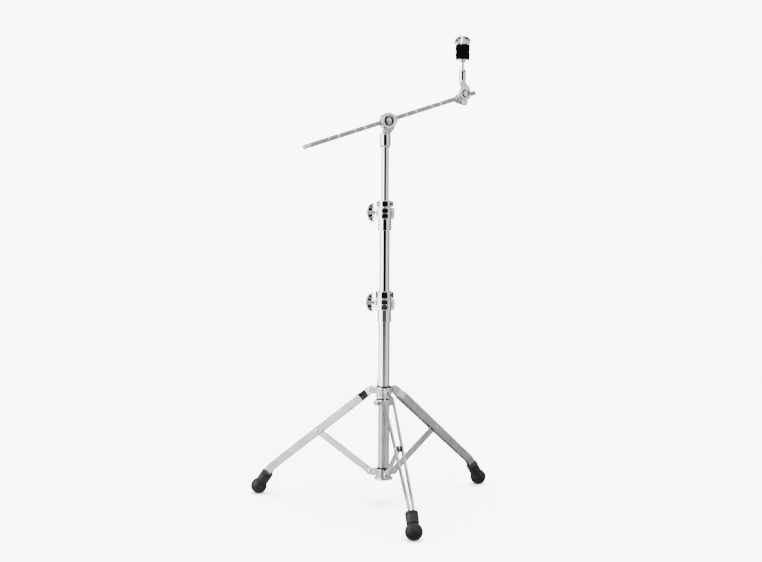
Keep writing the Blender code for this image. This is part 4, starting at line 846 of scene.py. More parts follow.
def leg_lock():
    """The split ring that grips the base tube under the sliding hub."""
    bottom, top = heights("leg_lock_ring")
    inner = BASE_TUBE_R + GAP
    clamp = rod("leg_lock_ring_fine", LOCK_RING_R, bottom, top, ON_MAST, 0.0018, FINE)
    place = ON_MAST @ turn(LEG_LOCK_AZIMUTH, "Z") @ along(z=(bottom + top) / 2)
    join(clamp, block("lock_ear", LOCK_EAR, place @ along(x=LOCK_EAR_REACH), 0.0018),
         block("lock_back", LOCK_BACK, place @ along(x=-LOCK_BACK_REACH), 0.0018))
    cut(clamp, rod("lock_bore", inner, -THROUGH, THROUGH, place, steps=FINE))
    slot_start, slot_end = inner - EDGE, LOCK_EAR_REACH + LOCK_EAR[0]
    slot_place = place @ along(x=(slot_start + slot_end) / 2)
    cut(clamp, block("lock_split", (slot_end - slot_start, LOCK_SLOT, 2 * THROUGH), slot_place, 0.0))
    bolt_place = place @ along(x=LOCK_BOLT_REACH) @ turn(90, "X")
    cut(clamp, rod("lock_bolt_hole", KEY_BOLT_R + GAP, -THROUGH, THROUGH, bolt_place))
    dress(clamp, "leg_hub", "cast_chrome", "leg_lock_ring")
    key_bolt("leg_lock_bolt", LOCK_BOLT_HALF, bolt_place, "leg_hub")


# ---------------------------------------------------------------- legs and braces
def pitched(pitch):
    return Vector((math.cos(pitch), 0.0, -math.sin(pitch)))


def strip_offset(distance):
    """How far a strip's middle is from the leg's middle plane, at a distance from the pivot."""
    start, end = STRIP_JOGGLE
    if distance <= end:
        share = max(distance - start, 0.0) / (end - start)
        return STRIP_OFFSET_HUB + share * (STRIP_OFFSET_WIDE - STRIP_OFFSET_HUB)
    share = min((distance - end) / (LEG_STRAIGHT + STRIP_TAIL - end), 1.0)
    return STRIP_OFFSET_WIDE + share * (STRIP_OFFSET_FOOT - STRIP_OFFSET_WIDE)


def foot_reach(pivot_z):
    """Bend to ball centre, along the foot."""
    return (pivot_z - LEG_STRAIGHT * math.sin(LEG_PITCH) - FOOT_BALL_Z) / math.sin(FOOT_PITCH)


def strip_stations(pivot_z):
    """Stations along a leg strip: round end, joggle, straight, bend and the tail in the foot."""
    half = STRIP_WIDTH / 2
    straight = pitched(LEG_PITCH)
    stations = []
    for degrees in range(10, 91, 8):
        angle = math.radians(degrees)
        stations.append((straight * (-half * math.cos(angle)), LEG_PITCH, half * math.sin(angle), 0.0))
    tangent = BEND_RADIUS * math.tan((FOOT_PITCH - LEG_PITCH) / 2)
    bend_start = LEG_STRAIGHT - tangent
    start, end = STRIP_JOGGLE
    bends = [corner + STRIP_THICKNESS * k / 4 for corner in (start, end) for k in (-2, -1, 0, 1, 2)]
    for distance in bends + [bend_start * 0.35, bend_start * 0.7, bend_start]:
        stations.append((straight * distance, LEG_PITCH, half, distance))
    centre = straight * bend_start - Vector((math.sin(LEG_PITCH), 0.0, math.cos(LEG_PITCH))) * BEND_RADIUS
    for step in range(1, 11):
        pitch = LEG_PITCH + (FOOT_PITCH - LEG_PITCH) * step / 10
        outward = Vector((math.sin(pitch), 0.0, math.cos(pitch)))
        stations.append((centre + outward * BEND_RADIUS, pitch, half, bend_start + 2 * tangent * step / 10))
    reach = foot_reach(pivot_z) - STRIP_TAIL
    end_point = straight * LEG_STRAIGHT + pitched(FOOT_PITCH) * reach
    stations.append((end_point, FOOT_PITCH, half, LEG_STRAIGHT + reach))
    return stations


def strip(name, side, place, pivot_z):
    """One of a leg's two flat strips: a ribbon through its stations, made solid."""
    work = bmesh.new()
    rows = []
    for point, pitch, half, distance in strip_stations(pivot_z):
        normal = Vector((math.sin(pitch), 0.0, math.cos(pitch)))
        centre = point + Vector((0.0, side * strip_offset(distance), 0.0))
        rows.append((work.verts.new(centre - normal * half), work.verts.new(centre + normal * half)))
    for (low, high), (next_low, next_high) in zip(rows, rows[1:]):
        work.faces.new((low, next_low, next_high, high))
    made = new_piece(name, work, place)
    solid = made.modifiers.new("Thickness", "SOLIDIFY")
    solid.thickness = STRIP_THICKNESS
    solid.offset = 0.0
    solid.use_even_offset = True
    rounded_edges(made, STRIP_EDGE)
    return made


def brace_spacer(node_name, side, place, body):
    """The nylon spacer between strip and brace, and the rivet head outside the strip."""
    offset = strip_offset(BRACE_ON_LEG)
    inner_face = offset - STRIP_THICKNESS / 2 - GAP
    outer_face = offset + STRIP_THICKNESS / 2 + GAP
    start = BRACE_THICKNESS / 2 + GAP
    profile = [(0.0, outer_face), (PIN_R, outer_face), (PIN_R, inner_face), (BUSHING_R, inner_face),
               (BUSHING_R, start), (0.0, start)]
    spacer_place = place @ Matrix.Translation(pitched(LEG_PITCH) * BRACE_ON_LEG) @ turn(-90 * side, "X")
    dress(lathe(node_name + "_fine", profile, spacer_place, 0.0003, SMALL), body, "black_nylon", node_name)
    head = rivet_head(outer_face + PIN_HEAD, outer_face)[:-1] + [(0.0, outer_face)]
    dress(lathe(node_name + "_rivet_head", head, spacer_place, 0.0002, SMALL), body, "cast_chrome")


def foot_profile():
    """A ringed ball on the floor, a groove above it and a ribbed sleeve over the strips' ends."""
    top = FOOT_SLEEVE_TOP
    valley = FOOT_SLEEVE_R - FOOT_RIB_DEPTH
    groove = FOOT_SLEEVE_R - FOOT_GROOVE_DEPTH
    profile = [(0.0, top), (FOOT_SLEEVE_R - 0.0006, top), (FOOT_SLEEVE_R, top - 0.0010)]
    for k in range(FOOT_RIBS):
        rib = top - 0.0030 - FOOT_RIB_PITCH * k
        profile += [(FOOT_SLEEVE_R, rib + 0.0008), (valley, rib + 0.0004), (valley, rib - 0.0004),
                    (FOOT_SLEEVE_R, rib - 0.0008)]
    profile += [(FOOT_SLEEVE_R - 0.0002, 0.0190), (groove, 0.0175), (groove, 0.0162)]
    degrees = FOOT_BALL_START
    while degrees > -88.0:
        near_ring = min(abs(degrees - ring) for ring in BALL_RINGS)
        radius = FOOT_BALL_R - RING_DEPTH * max(1 - (near_ring / BALL_RING_HALF) ** 2, 0.0)
        angle = math.radians(degrees)
        profile.append((radius * math.cos(angle), radius * math.sin(angle)))
        degrees -= 2.0
    profile.append((0.0, -FOOT_BALL_R))
    return profile


def foot(node_name, place, body, pivot_z):
    centre = pitched(LEG_PITCH) * LEG_STRAIGHT + pitched(FOOT_PITCH) * foot_reach(pivot_z)
    upwards = -pitched(FOOT_PITCH)
    foot_place = place @ placed(centre, upwards, upwards.cross(Vector((0.0, 1.0, 0.0))))
    made = lathe(node_name + "_fine", foot_profile(), foot_place, 0.0, 72)
    pocket = (STRIP_WIDTH + FOOT_POCKET_AIR, 2 * STRIP_OFFSET_FOOT + STRIP_THICKNESS + 2 * FOOT_POCKET_AIR,
              2 * THROUGH)
    cut(made, block(node_name + "_pocket", pocket, foot_place @ along(z=STRIP_TAIL - 0.001 + THROUGH), 0.0))
    floor_size = 3 * FOOT_BALL_R
    under_place = place @ along(centre.x, 0.0, -pivot_z - THROUGH)
    cut(made, block(node_name + "_under", (floor_size, floor_size, 2 * THROUGH), under_place, 0.0))
    dress(made, body, "black_rubber", node_name)


def leg(index):
    body = f"leg_{index}"
    place = pivot_place(index, f"leg_{index}_hinge")
    pivot_z = joint_point(f"leg_{index}_hinge").z
    straight = pitched(LEG_PITCH)
    for label, side in (("left", 1), ("right", -1)):
        node_name = f"leg_{index}_strip_{label}"
        made = strip(node_name + "_fine", side, place, pivot_z)
        for hole, distance, radius in (("hub", 0.0, PIN_R + GAP), ("brace", BRACE_ON_LEG, PIN_R + GAP),
                                       ("drain", LEG_STRAIGHT - DRAIN_HOLE_ABOVE_BEND, DRAIN_HOLE_R)):
            hole_place = place @ Matrix.Translation(straight * distance) @ ACROSS
            cut(made, rod(f"{node_name}_{hole}", radius, -THROUGH, THROUGH, hole_place))
        dress(made, body, "strip_steel", node_name)
        brace_spacer(f"leg_{index}_brace_bushing_{label}", side, place, body)
    foot(f"leg_{index}_foot", place, body, pivot_z)


def brace(index):
    """A flat bar from the lower hub's lug to between its leg's strips."""
    low_place = pivot_place(index, f"brace_{index}_hinge")
    high = pivot_place(index, f"leg_{index}_hinge") @ (pitched(LEG_PITCH) * BRACE_ON_LEG)
    reach = low_place.inverted() @ high
    place = low_place @ turn(-math.degrees(math.atan2(reach.z, reach.x)), "Y")
    outline = (arc((reach.length, 0.0), BRACE_WIDTH / 2, -90, 90, 16)
               + arc((0.0, 0.0), BRACE_WIDTH / 2, 90, 270, 16))
    made = prism(f"brace_{index}_fine", outline, BRACE_THICKNESS, place, STRIP_EDGE)
    for label, distance in (("low", 0.0), ("high", reach.length)):
        cut(made, rod(f"brace_{index}_{label}", PIN_R + GAP, -THROUGH, THROUGH,
                      place @ along(x=distance) @ ACROSS))
    dress(made, f"brace_arm_{index}", "strip_steel", f"brace_{index}")


# ---------------------------------------------------------------- height clamps
def tapered_ears(name, half_width, depth, height, place):
    """A pair of ears that get thinner from the middle to their ends."""
    middle, tip = EAR_PAD, depth / 2 * EAR_TIP_SHARE
    quarter = [(half_width, tip), (middle, depth / 2), (-middle, depth / 2), (-half_width, tip)]
    outline = quarter + [(-x, -y) for x, y in quarter]
    return prism(name, outline, height, place @ turn(90, "X"), 0.0016)


def clamp_body(prefix, clamp, outer_tube, inner_tube, towards_wing, wing_z, body):
    """A sleeve over the tube's end and a boss with two ears, with the capped slot of the wing bolt's nut."""
    node_name = prefix + "_clamp_body"
    bottom, top = heights(node_name)
    shoulder = top - clamp.shoulder_drop
    sleeve_r = outer_tube + clamp.sleeve_wall
    profile = [(0.0, top), (clamp.boss_r, top), (clamp.boss_r, shoulder), (sleeve_r, shoulder),
               (sleeve_r, bottom), (0.0, bottom)]
    made = lathe(node_name + "_fine", profile, fillet=0.0010)
    middle_z = (shoulder + top) / 2
    join(made, tapered_ears(node_name + "_ears", clamp.half_width, CLAMP_EAR_DEPTH, top - shoulder - EDGE,
                            towards_wing @ along(z=middle_z)))
    for number, side in ((1, 1), (2, -1)):
        pad = (4 * EAR_PAD, 2 * THROUGH, BOSS_PAD_HEIGHT)
        pad_z = middle_z + side * BOSS_PAD_RISE
        pad_place = towards_wing @ along(y=clamp.boss_r - PAD_DEPTH + THROUGH, z=pad_z)
        cut(made, block(f"{node_name}_pad_{number}", pad, pad_place, 0.0005))
    seat = inner_tube + CLAMP_SEAT_WALL + GAP
    bore = outer_tube + GAP
    step = shoulder - 2 * GAP
    bore_profile = [(0.0, top + THROUGH), (seat, top + THROUGH), (seat, step), (bore, step),
                    (bore, bottom - THROUGH), (0.0, bottom - THROUGH)]
    cut(made, lathe(node_name + "_bore", bore_profile, fillet=0.0))
    bolt_place = towards_wing @ along(z=wing_z) @ turn(90, "Y")
    cut(made, rod(node_name + "_bolt_hole", CLAMP_STEM_R + GAP, inner_tube, 2 * THROUGH, bolt_place))
    slot_y = CLAMP_STEM_R + CLAMP_NUT_SLOT[1] / 2
    slot_place = towards_wing @ along(clamp.boss_r + NUT_SLOT_OUT, slot_y, wing_z)
    cut(made, block(node_name + "_nut_slot", CLAMP_NUT_SLOT, slot_place, 0.0))
    dress(made, body, "cast_chrome", node_name)
    cap_place = slot_place @ along(y=GAP + (CLAMP_NUT_CAP[1] - CLAMP_NUT_SLOT[1]) / 2)
    dress(block(prefix + "_clamp_nut_cap", CLAMP_NUT_CAP, cap_place, 0.0002), body, "black_nylon")
    clamp_cheek(prefix, clamp, top - shoulder, towards_wing @ along(z=middle_z), body)
    bushing = sleeve(prefix + "_clamp_bushing_fine", inner_tube + GAP, inner_tube + CLAMP_SEAT_WALL,
                     shoulder - GAP, top - GAP, fillet=0.0004)
    dress(bushing, body, "black_nylon", prefix + "_clamp_bushing")


def clamp_cheek(prefix, clamp, boss_height, place, body):
    """A thin plate on the slope of the ear that is away from the wing."""
    taper = CLAMP_EAR_DEPTH / 2 * (1 - EAR_TIP_SHARE)
    slope = math.degrees(math.atan2(taper, clamp.half_width - EAR_PAD))
    surface_y = CLAMP_EAR_DEPTH / 2 * (EAR_TIP_SHARE + CHEEK_PROUD)
    cheek_place = place @ along(-clamp.half_width + CHEEK_INSET, surface_y) @ turn(slope, "Z")
    outer, inner = CHEEK_SIDES
    tall = boss_height * CHEEK_HALF_SHARE
    short = tall * CHEEK_TAPER
    outline = [(outer, -tall), (inner, -short), (inner, short), (outer, tall)]
    cheek = prism(prefix + "_clamp_cheek", outline, CHEEK_THICKNESS, cheek_place, 0.0004)
    dress(cheek, body, "strip_steel")


def memory_lock(prefix, clamp, inner_tube, towards_wing, body):
    """A split ring on the sliding tube, with two ears, a key bolt at one end and a hinge pin at the other."""
    node_name = prefix + "_memory_lock"
    bottom, top = heights(node_name)
    inner = inner_tube + GAP
    made = rod(node_name + "_fine", clamp.lock_r, bottom, top, ON_MAST, 0.0013, FINE)
    place = towards_wing @ along(z=(bottom + top) / 2)
    ear_height = top - bottom - 0.003
    join(made, tapered_ears(node_name + "_ears", clamp.lock_half_width, MEMORY_EAR_DEPTH, ear_height, place))
    pad_place = place @ along(y=clamp.lock_r - PAD_DEPTH + THROUGH)
    cut(made, block(node_name + "_pad", (4 * EAR_PAD, 2 * THROUGH, top - bottom - 0.004), pad_place, 0.0005))
    cut(made, rod(node_name + "_bore", inner, -THROUGH, THROUGH, place, steps=FINE))
    split_start, split_end = -clamp.lock_half_width - 0.001, 0.001 - inner
    split_place = place @ along(x=(split_start + split_end) / 2)
    split = (split_end - split_start, MEMORY_SLOT, 2 * THROUGH)
    cut(made, block(node_name + "_split", split, split_place, 0.0))
    bolt_place = place @ along(x=MEMORY_BOLT_INSET - clamp.lock_half_width) @ turn(-90, "X")
    cut(made, rod(node_name + "_bolt_hole", KEY_BOLT_R + GAP, -THROUGH, THROUGH, bolt_place))
    pin_place = place @ along(x=clamp.lock_half_width - MEMORY_BOLT_INSET - 0.001) @ turn(90, "X")
    cut(made, rod(node_name + "_pin_hole", KEY_BOLT_R + GAP, -THROUGH, THROUGH, pin_place))
    dress(made, body, "cast_chrome", node_name)
    key_bolt(prefix + "_lock_key_bolt", MEMORY_BOLT_HALF, bolt_place, body)
    pin_half = MEMORY_EAR_DEPTH / 2 - 0.0002
    pin = rod(prefix + "_lock_hinge_pin", KEY_BOLT_R, -pin_half, pin_half, pin_place, 0.0004)
    dress(pin, body, "black_steel")


def height_clamp(prefix, tubes, bodies, wing_body):
    clamp = CLAMPS[prefix]
    outer_tube, inner_tube = tubes
    fixed_body, lock_body = bodies
    joint = prefix + "_wing_bolt_turn"
    towards_wing = placed(MAST, UP, joint_axis(joint))
    wing_point = joint_point(joint)
    clamp_body(prefix, clamp, outer_tube, inner_tube, towards_wing, wing_point.z, fixed_body)
    memory_lock(prefix, clamp, inner_tube, towards_wing, lock_body)
    flat_reach = clamp.wing_flat - (wing_point - MAST).xy.length
    wing_screw(prefix + "_wing_bolt", CLAMP_STEM_R, joint, flat_reach, CLAMP_WING_HALF, CLAMP_WING_DEPTH, -UP,
               wing_body)


# ---------------------------------------------------------------- boom and its tilter
def recessed_disc(name, radius, near, far, recess_r, depth, place):
    """A round face along local Z with a bright bevelled rim around a shallow recess."""
    profile = [(0.0, far - depth), (recess_r - 0.0012, far - depth), (recess_r, far - depth + 0.0004),
               (recess_r + 0.0012, far - 0.0002), (radius - 0.0022, far), (radius - 0.0003, far - 0.0019),
               (radius, far - 0.0024), (radius, near), (0.0, near)]
    return lathe(name, profile, place, 0.0005)


def tilter_casting():
    """The sleeve on the upper tube, the neck that leans forward and the round face of the boom tilter."""
    bottom = heights("boom_tilter_casting")[0]
    tube_top = heights("upper_tube")[1]
    sleeve_top = TILTER_NECK[0][0] + 0.0010
    inner = UPPER_TUBE_R + GAP
    profile = [(0.0, sleeve_top + 0.0020), (0.0110, sleeve_top + 0.0020), (TILTER_SLEEVE_R, sleeve_top),
               (TILTER_SLEEVE_R, bottom + 0.0040), (TILTER_SLEEVE_R - 0.0020, bottom), (inner, bottom),
               (inner, tube_top + GAP), (0.0, tube_top + GAP)]
    made = lathe("boom_tilter_casting_fine", profile, fillet=0.0005)
    front = placed(TILT_POINT, FRONT_DIR, BOOM_LEVEL)
    neck = loft("tilter_neck", TILTER_NECK, placed(MAST, UP, BOOM_LEVEL))
    join(made, neck, recessed_disc("tilter_disc", TILTER_DISC_R, *TILTER_DISC_H, *TILTER_RECESS, front))
    cut(made, rod("tilter_bolt_hole", SHANK_R + GAP, 0.0, 2 * THROUGH, front))
    dress(made, "upper", "cast_chrome", "boom_tilter_casting")
    seat = TILTER_DISC_H[1] - 0.0020 + GAP
    crown = TILTER_DISC_H[1] + 0.0020
    nut_profile = [(0.0, crown), (0.0030, crown - 0.0003), (0.0055, crown - 0.0014),
                   (CAP_NUT_R - 0.0006, seat + 0.0014), (CAP_NUT_R, seat + 0.0008), (CAP_NUT_R, seat),
                   (SHANK_R, seat), (SHANK_R, TILTER_DISC_H[0] + GAP), (0.0, TILTER_DISC_H[0] + GAP)]
    nut = lathe("holder_cap_nut_fine", nut_profile, front, 0.0003, SMALL)
    cut(nut, hex_nut("cap_nut_socket", 0.0026, crown - 0.0018, crown + 0.002, front))
    dress(nut, "holder", "chrome", "holder_cap_nut")
    # painted shade: the black ring darkens the boom tilter's recess round the cap nut
    dark_ring("tilter_painted_shade_ring", *TILTER_SHADE_RING, seat, front, "upper")
    teeth_place = front @ along(z=TILTER_DISC_H[0] - 0.0010)
    teeth = toothed_washer("tilter_teeth", HOLDER_DISC_R - 0.0012, 0.0008, teeth_place)
    dress(teeth, "holder", "black_steel")


def dark_ring(name, inner, outer, seat, place, body):
    """A flat black ring in a tilter's recess, round its cap: painted shade that stands in for the shadow in
    the recess.
    """
    profile = [(inner, seat + 0.0008), (outer, seat + 0.0008), (outer, seat), (inner, seat)]
    dress(lathe(name, profile, place, 0.0002), body, "black_steel")


def toothed_washer(name, radius, height, place, teeth=36):
    """A ring of radial teeth, such as the two halves of a tilter mesh with."""
    inner = radius * 0.55
    work = bmesh.new()
    rings = []
    for k in range(2 * teeth):
        angle = math.pi * k / teeth
        top = height * (0.45 if k % 2 else 0.90)
        column = []
        for reach, z in ((inner, 0.0), (radius, 0.0), (radius, top), (inner, top)):
            column.append(work.verts.new((reach * math.cos(angle), reach * math.sin(angle), z)))
        rings.append(column)
    for column, following in zip(rings, rings[1:] + rings[:1]):
        for k in range(4):
            work.faces.new((column[k], following[k], following[(k + 1) % 4], column[(k + 1) % 4]))
    return new_piece(name, work, place)


def boom_holder():
    """The collar that grips the boom, with the tilter's inner disc in front and the bolt boss behind."""
    front = placed(TILT_POINT, FRONT_DIR, BOOM_LEVEL)
    tilted = placed(TILT_POINT, FRONT_DIR.cross(BOOM_DIR), BOOM_DIR)
    along_boom = tilted @ turn(90, "Y")
    lug_x, lug_z = HOLDER_LUG_PLACE
    made = rod("boom_holder_fine", HOLDER_R, *HOLDER_ENDS, along_boom, 0.0012, FINE)
    face = rod("holder_disc", HOLDER_DISC_R, 0.0060, TILTER_DISC_H[0] - 0.0012, front, 0.0006, FINE)
    boss = rod("holder_boss", 0.0075, -0.0130, -0.0060, front, 0.0008)
    lug_block = block("holder_lug", HOLDER_LUG, tilted @ along(x=lug_x, z=lug_z), 0.0014)
    join(made, face, boss, lug_block)
    cut(made, rod("holder_bore", BOOM_R + GAP, -2 * THROUGH, 2 * THROUGH, along_boom, steps=FINE))
    cut(made, rod("holder_bolt_hole", BOLT_R + GAP, -THROUGH, -BOOM_R, front))
    slot_place = tilted @ along(x=lug_x + 0.002, z=-THROUGH / 2 - 0.001)
    cut(made, block("holder_split", (3 * BOOM_R, 0.0014, THROUGH), slot_place, 0.0))
    dress(made, "holder", "cast_chrome", "boom_holder")
    wing_screw("boom_wing_bolt", BOLT_R, "boom_wing_bolt_turn", *BOOM_WING, BOOM_LEVEL, "boom_wing", roll=90)


def knurled_loop(work, distance, knurl):
    """One loop around the boom: fluted where the rod is knurled, sunk and round under its smooth bands."""
    loop = []
    for k in range(2 * KNURL_COUNT):
        radius = BOOM_R - (KNURL_DEPTH if k % 2 else 0.0) if knurl else BOOM_R - RING_SEAT
        angle = math.pi * k / KNURL_COUNT
        loop.append(work.verts.new((radius * math.cos(angle), radius * math.sin(angle), distance)))
    return loop


def smooth_rings(left, right):
    """Start and end of each smooth ring along the rod."""
    rings = []
    distance = left + RING_SPACING
    while distance < right - RING_WIDTH:
        rings.append((distance - SECOND_RING, distance - SECOND_RING + SECOND_RING_WIDTH))
        rings.append((distance, distance + RING_WIDTH))
        distance += RING_SPACING
    return rings


def boom():
    """The fluted rod with its smooth rings, and the polished cap on its low end."""
    place = placed(TILT_POINT, BOOM_DIR, UP)
    right = reach_along("boom_arm", BOOM_DIR, BOOM_R)[1]
    cap_left = reach_along("boom_end_cap", BOOM_DIR, BOOM_R)[0]
    left = cap_left + BOOM_CAP_LENGTH
    marks = [(left, True)]
    for number, (start, end) in enumerate(smooth_rings(left, right), 1):
        marks += [(start, True), (start + RING_SEAT / 4, False), (end - RING_SEAT / 4, False), (end, True)]
        band = sleeve(f"boom_ring_{number}", BOOM_R - RING_SEAT, BOOM_R, start, end, place, 0.00015)
        dress(band, "boom", "knurled_steel", look="polished_steel")
    marks.append((right - 0.0012, True))
    work = bmesh.new()
    loops = [knurled_loop(work, distance, knurl) for distance, knurl in marks]
    tip = [work.verts.new((vert.co.x * 0.82, vert.co.y * 0.82, right)) for vert in loops[-1]]
    loops.append(tip)
    for lower, upper in zip(loops, loops[1:]):
        for k in range(2 * KNURL_COUNT):
            following = (k + 1) % (2 * KNURL_COUNT)
            work.faces.new((lower[k], lower[following], upper[following], upper[k]))
    work.faces.new(list(reversed(loops[0])))
    work.faces.new(tip)
    dress(new_piece("boom_arm_fine", work, place), "boom", "knurled_steel", "boom_arm", sharp=20)
    shoulder = left - GAP
    waist = BOOM_R - 0.0007
    profile = [(0.0, shoulder), (BOOM_R, shoulder), (BOOM_R, shoulder - 0.0032), (waist, shoulder - 0.0039),
               (waist, shoulder - 0.0049), (BOOM_R, shoulder - 0.0056), (BOOM_R, cap_left + 0.0012),
               (BOOM_R - 0.0012, cap_left), (0.0, cap_left)]
    dress(lathe("boom_end_cap_fine", profile, place, 0.0003), "boom", "chrome", "boom_end_cap")


# ---------------------------------------------------------------- cymbal tilter and seat
def tilter_base():
    """The clamp on the boom's end with the tilter's inner disc, its key screw and its wing bolt."""
    tilted = placed(BASE_POINT, FRONT_DIR.cross(BOOM_DIR), BOOM_DIR)
    along_boom = tilted @ turn(90, "Y")
    front = placed(CYMBAL_POINT, FRONT_DIR, BOOM_LEVEL)
    made = rod("cymbal_tilter_base_fine", BASE_R, -BASE_HALF, BASE_HALF, along_boom, 0.0011, FINE)
    face = rod("base_disc", BASE_DISC_R, 0.0040, NECK_DISC_H[0] - 0.0012, front, 0.0006, FINE)
    base_lug = block("base_lug", BASE_LUG, tilted @ along(z=-BASE_LUG_DROP), 0.0022)
    join(made, face, base_lug)
    cut(made, rod("base_bore", BOOM_R + GAP, -2 * THROUGH, 2 * THROUGH, along_boom, steps=FINE))
    cut(made, block("base_split", (3 * THROUGH, 0.0016, THROUGH), tilted @ along(z=-BASE_SLOT_DROP), 0.0))
    cross = tilted @ along(z=-BASE_BOLT_DROP) @ turn(-90, "X")
    cut(made, rod("base_bolt_hole", BOLT_R + GAP, -THROUGH, THROUGH, cross))
    screw_x, seat = BASE_SCREW_PLACE
    screw_place = tilted @ along(x=screw_x, z=seat)
    cut(made, rod("base_key_hole", 0.0024, -GAP, THROUGH, screw_place))
    dress(made, "tilter_base", "cast_chrome", "cymbal_tilter_base")
    screw = rod("base_key_screw_fine", 0.0021, 0.0001, 0.0053, screw_place, 0.0002)
    head = block("base_key_head", (0.0044, 0.0044, 0.0040), screw_place @ along(z=0.0063), 0.0005)
    join(screw, head)
    dress(screw, "tilter_base", "black_steel", "base_key_screw")
    wing_screw("tilter_wing_bolt", BOLT_R, "tilter_wing_bolt_turn", *TILTER_WING, BOOM_DIR, "tilter_wing",
               roll=35)
    teeth_place = front @ along(z=NECK_DISC_H[0] - 0.0010)
    dress(toothed_washer("cymbal_tilter_teeth", BASE_DISC_R - 0.0008, 0.0008, teeth_place), "tilter_base",
          "black_steel")


def tilter_neck():
    """The front disc of the cymbal tilter and the neck that leads back over the boom to the post."""
    front = placed(CYMBAL_POINT, FRONT_DIR, BOOM_LEVEL)
    upright = placed(CYMBAL_POINT, UP, BOOM_LEVEL)
    collar, top = (height - CYMBAL_POINT.z for height in NECK_Z)
    sections = [*NECK_FLARE, (collar, 0.0, NECK_R, NECK_R), (top - 0.0180, 0.0, NECK_R, NECK_R),
                (top - 0.0030, 0.0, NECK_R, NECK_R), (top - 0.0008, 0.0, NECK_R - 0.0012, NECK_R - 0.0012),
                (top, 0.0, NECK_R - 0.0030, NECK_R - 0.0030)]
    made = loft("cymbal_tilter_neck_fine", sections, upright)
    join(made, recessed_disc("neck_disc", NECK_DISC_R, *NECK_DISC_H, *NECK_RECESS, front))
    bore_start = heights("cymbal_rod")[0] - GAP - CYMBAL_POINT.z
    cut(made, rod("neck_rod_bore", ROD_R + GAP, bore_start, top + THROUGH, upright))
    screw_place = placed(CYMBAL_POINT + UP * (top - 0.0075), FRONT_DIR, UP)
    cut(made, rod("neck_screw_hole", 0.0019, ROD_R + 2 * GAP, THROUGH, screw_place))
    cut(made, rod("neck_disc_hole", 0.0016, NECK_DISC_H[1] - 0.0030, THROUGH, front @ along(x=0.0138)))
    dress(made, "cymbal_post", "cast_chrome", "cymbal_tilter_neck")
    screw = rod("neck_set_screw", 0.0016, ROD_R + 2 * GAP, NECK_R - 0.0010, screw_place, 0.0002)
    dress(screw, "cymbal_post", "black_steel")
    seat = NECK_DISC_H[1] - NECK_RECESS[1] + GAP
    cap_profile = [(0.0, seat + 0.0022), (0.0026, seat + 0.0021), (0.0050, seat + 0.0014),
                   (0.0058, seat + 0.0006), (0.0066, seat + 0.0006), (0.0070, seat + 0.0001), (0.0070, seat),
                   (0.0, seat)]
    dress(lathe("cymbal_tilter_cap", cap_profile, front, 0.0002), "cymbal_post", "chrome")
    # painted shade: the black ring darkens the cymbal tilter's recess round its cap
    dark_ring("cymbal_tilter_painted_shade_ring", *NECK_SHADE_RING, seat, front, "cymbal_post")


def felt(node_name, body, place):
    """A felt washer with soft edges, its skin pressed uneven."""
    bottom, top = heights(node_name)
    low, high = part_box(node_name)
    radius = (high.x - low.x) / 2
    inner = radius - FELT_ROUNDING
    upper, lower = top - FELT_ROUNDING, bottom + FELT_ROUNDING
    side_steps = 12
    side = [(radius, upper - (upper - lower) * k / side_steps) for k in range(1, side_steps)]
    profile = [(FELT_BORE_R, top), *arc((inner, upper), FELT_ROUNDING, 90, 0, 8), *side,
               *arc((inner, lower), FELT_ROUNDING, 0, -90, 8), (FELT_BORE_R, bottom)]
    made = lathe(node_name + "_fine", profile, place, 0.0, 120)
    centre_z = (top + bottom) / 2
    for vert in made.data.vertices:
        if vert.co.xy.length < FELT_BORE_R + 0.0005:
            continue
        fuzz = FELT_FUZZ * (0.5 + 0.5 * noise.noise(vert.co * 420.0))
        inwards = Vector((-vert.co.x, -vert.co.y, centre_z - vert.co.z)).normalized()
        vert.co += inwards * fuzz
    dress(made, body, "black_felt", node_name, sharp=80)


def cymbal_seat():
    """The post, the cup washer on its nut, the sleeve, both felts and the wing nut."""
    post = Matrix.Translation((CYMBAL_POINT.x, CYMBAL_POINT.y, 0.0))
    rod_low, rod_high = heights("cymbal_rod")
    made = rod("cymbal_rod_fine", ROD_R, rod_low, rod_high, post, 0.0005)
    dress(made, "cymbal_post", "chrome", "cymbal_rod")
    inner = ROD_R + GAP
    bottom, cup_top = heights("cup_washer")
    cup_floor = cup_top - 0.0010
    skirt = bottom + 0.0055
    profile = [(inner, cup_floor), (0.0075, cup_floor), (0.0160, cup_top), (0.0172, cup_top - 0.0008),
               (0.0170, cup_top - 0.0020), (0.0078, skirt), (0.0070, bottom + 0.0008), (0.0062, bottom),
               (inner, bottom)]
    dress(lathe("cup_washer_fine", profile, post, 0.0004), "cymbal_post", "chrome", "cup_washer")
    sleeve_low, sleeve_high = heights("cymbal_sleeve")
    step = cup_top + 2 * GAP
    sleeve_profile = [(inner, sleeve_high), (0.0058, sleeve_high), (0.0058, step), (0.0070, step),
                      (0.0070, sleeve_low), (inner, sleeve_low)]
    made = lathe("cymbal_sleeve_fine", sleeve_profile, post, 0.0002)
    dress(made, "cymbal_post", "black_nylon", "cymbal_sleeve")
    felt("felt_lower", "cymbal_post", post)
    felt("felt_upper", "seat_top", post)
    wing_nut(post)


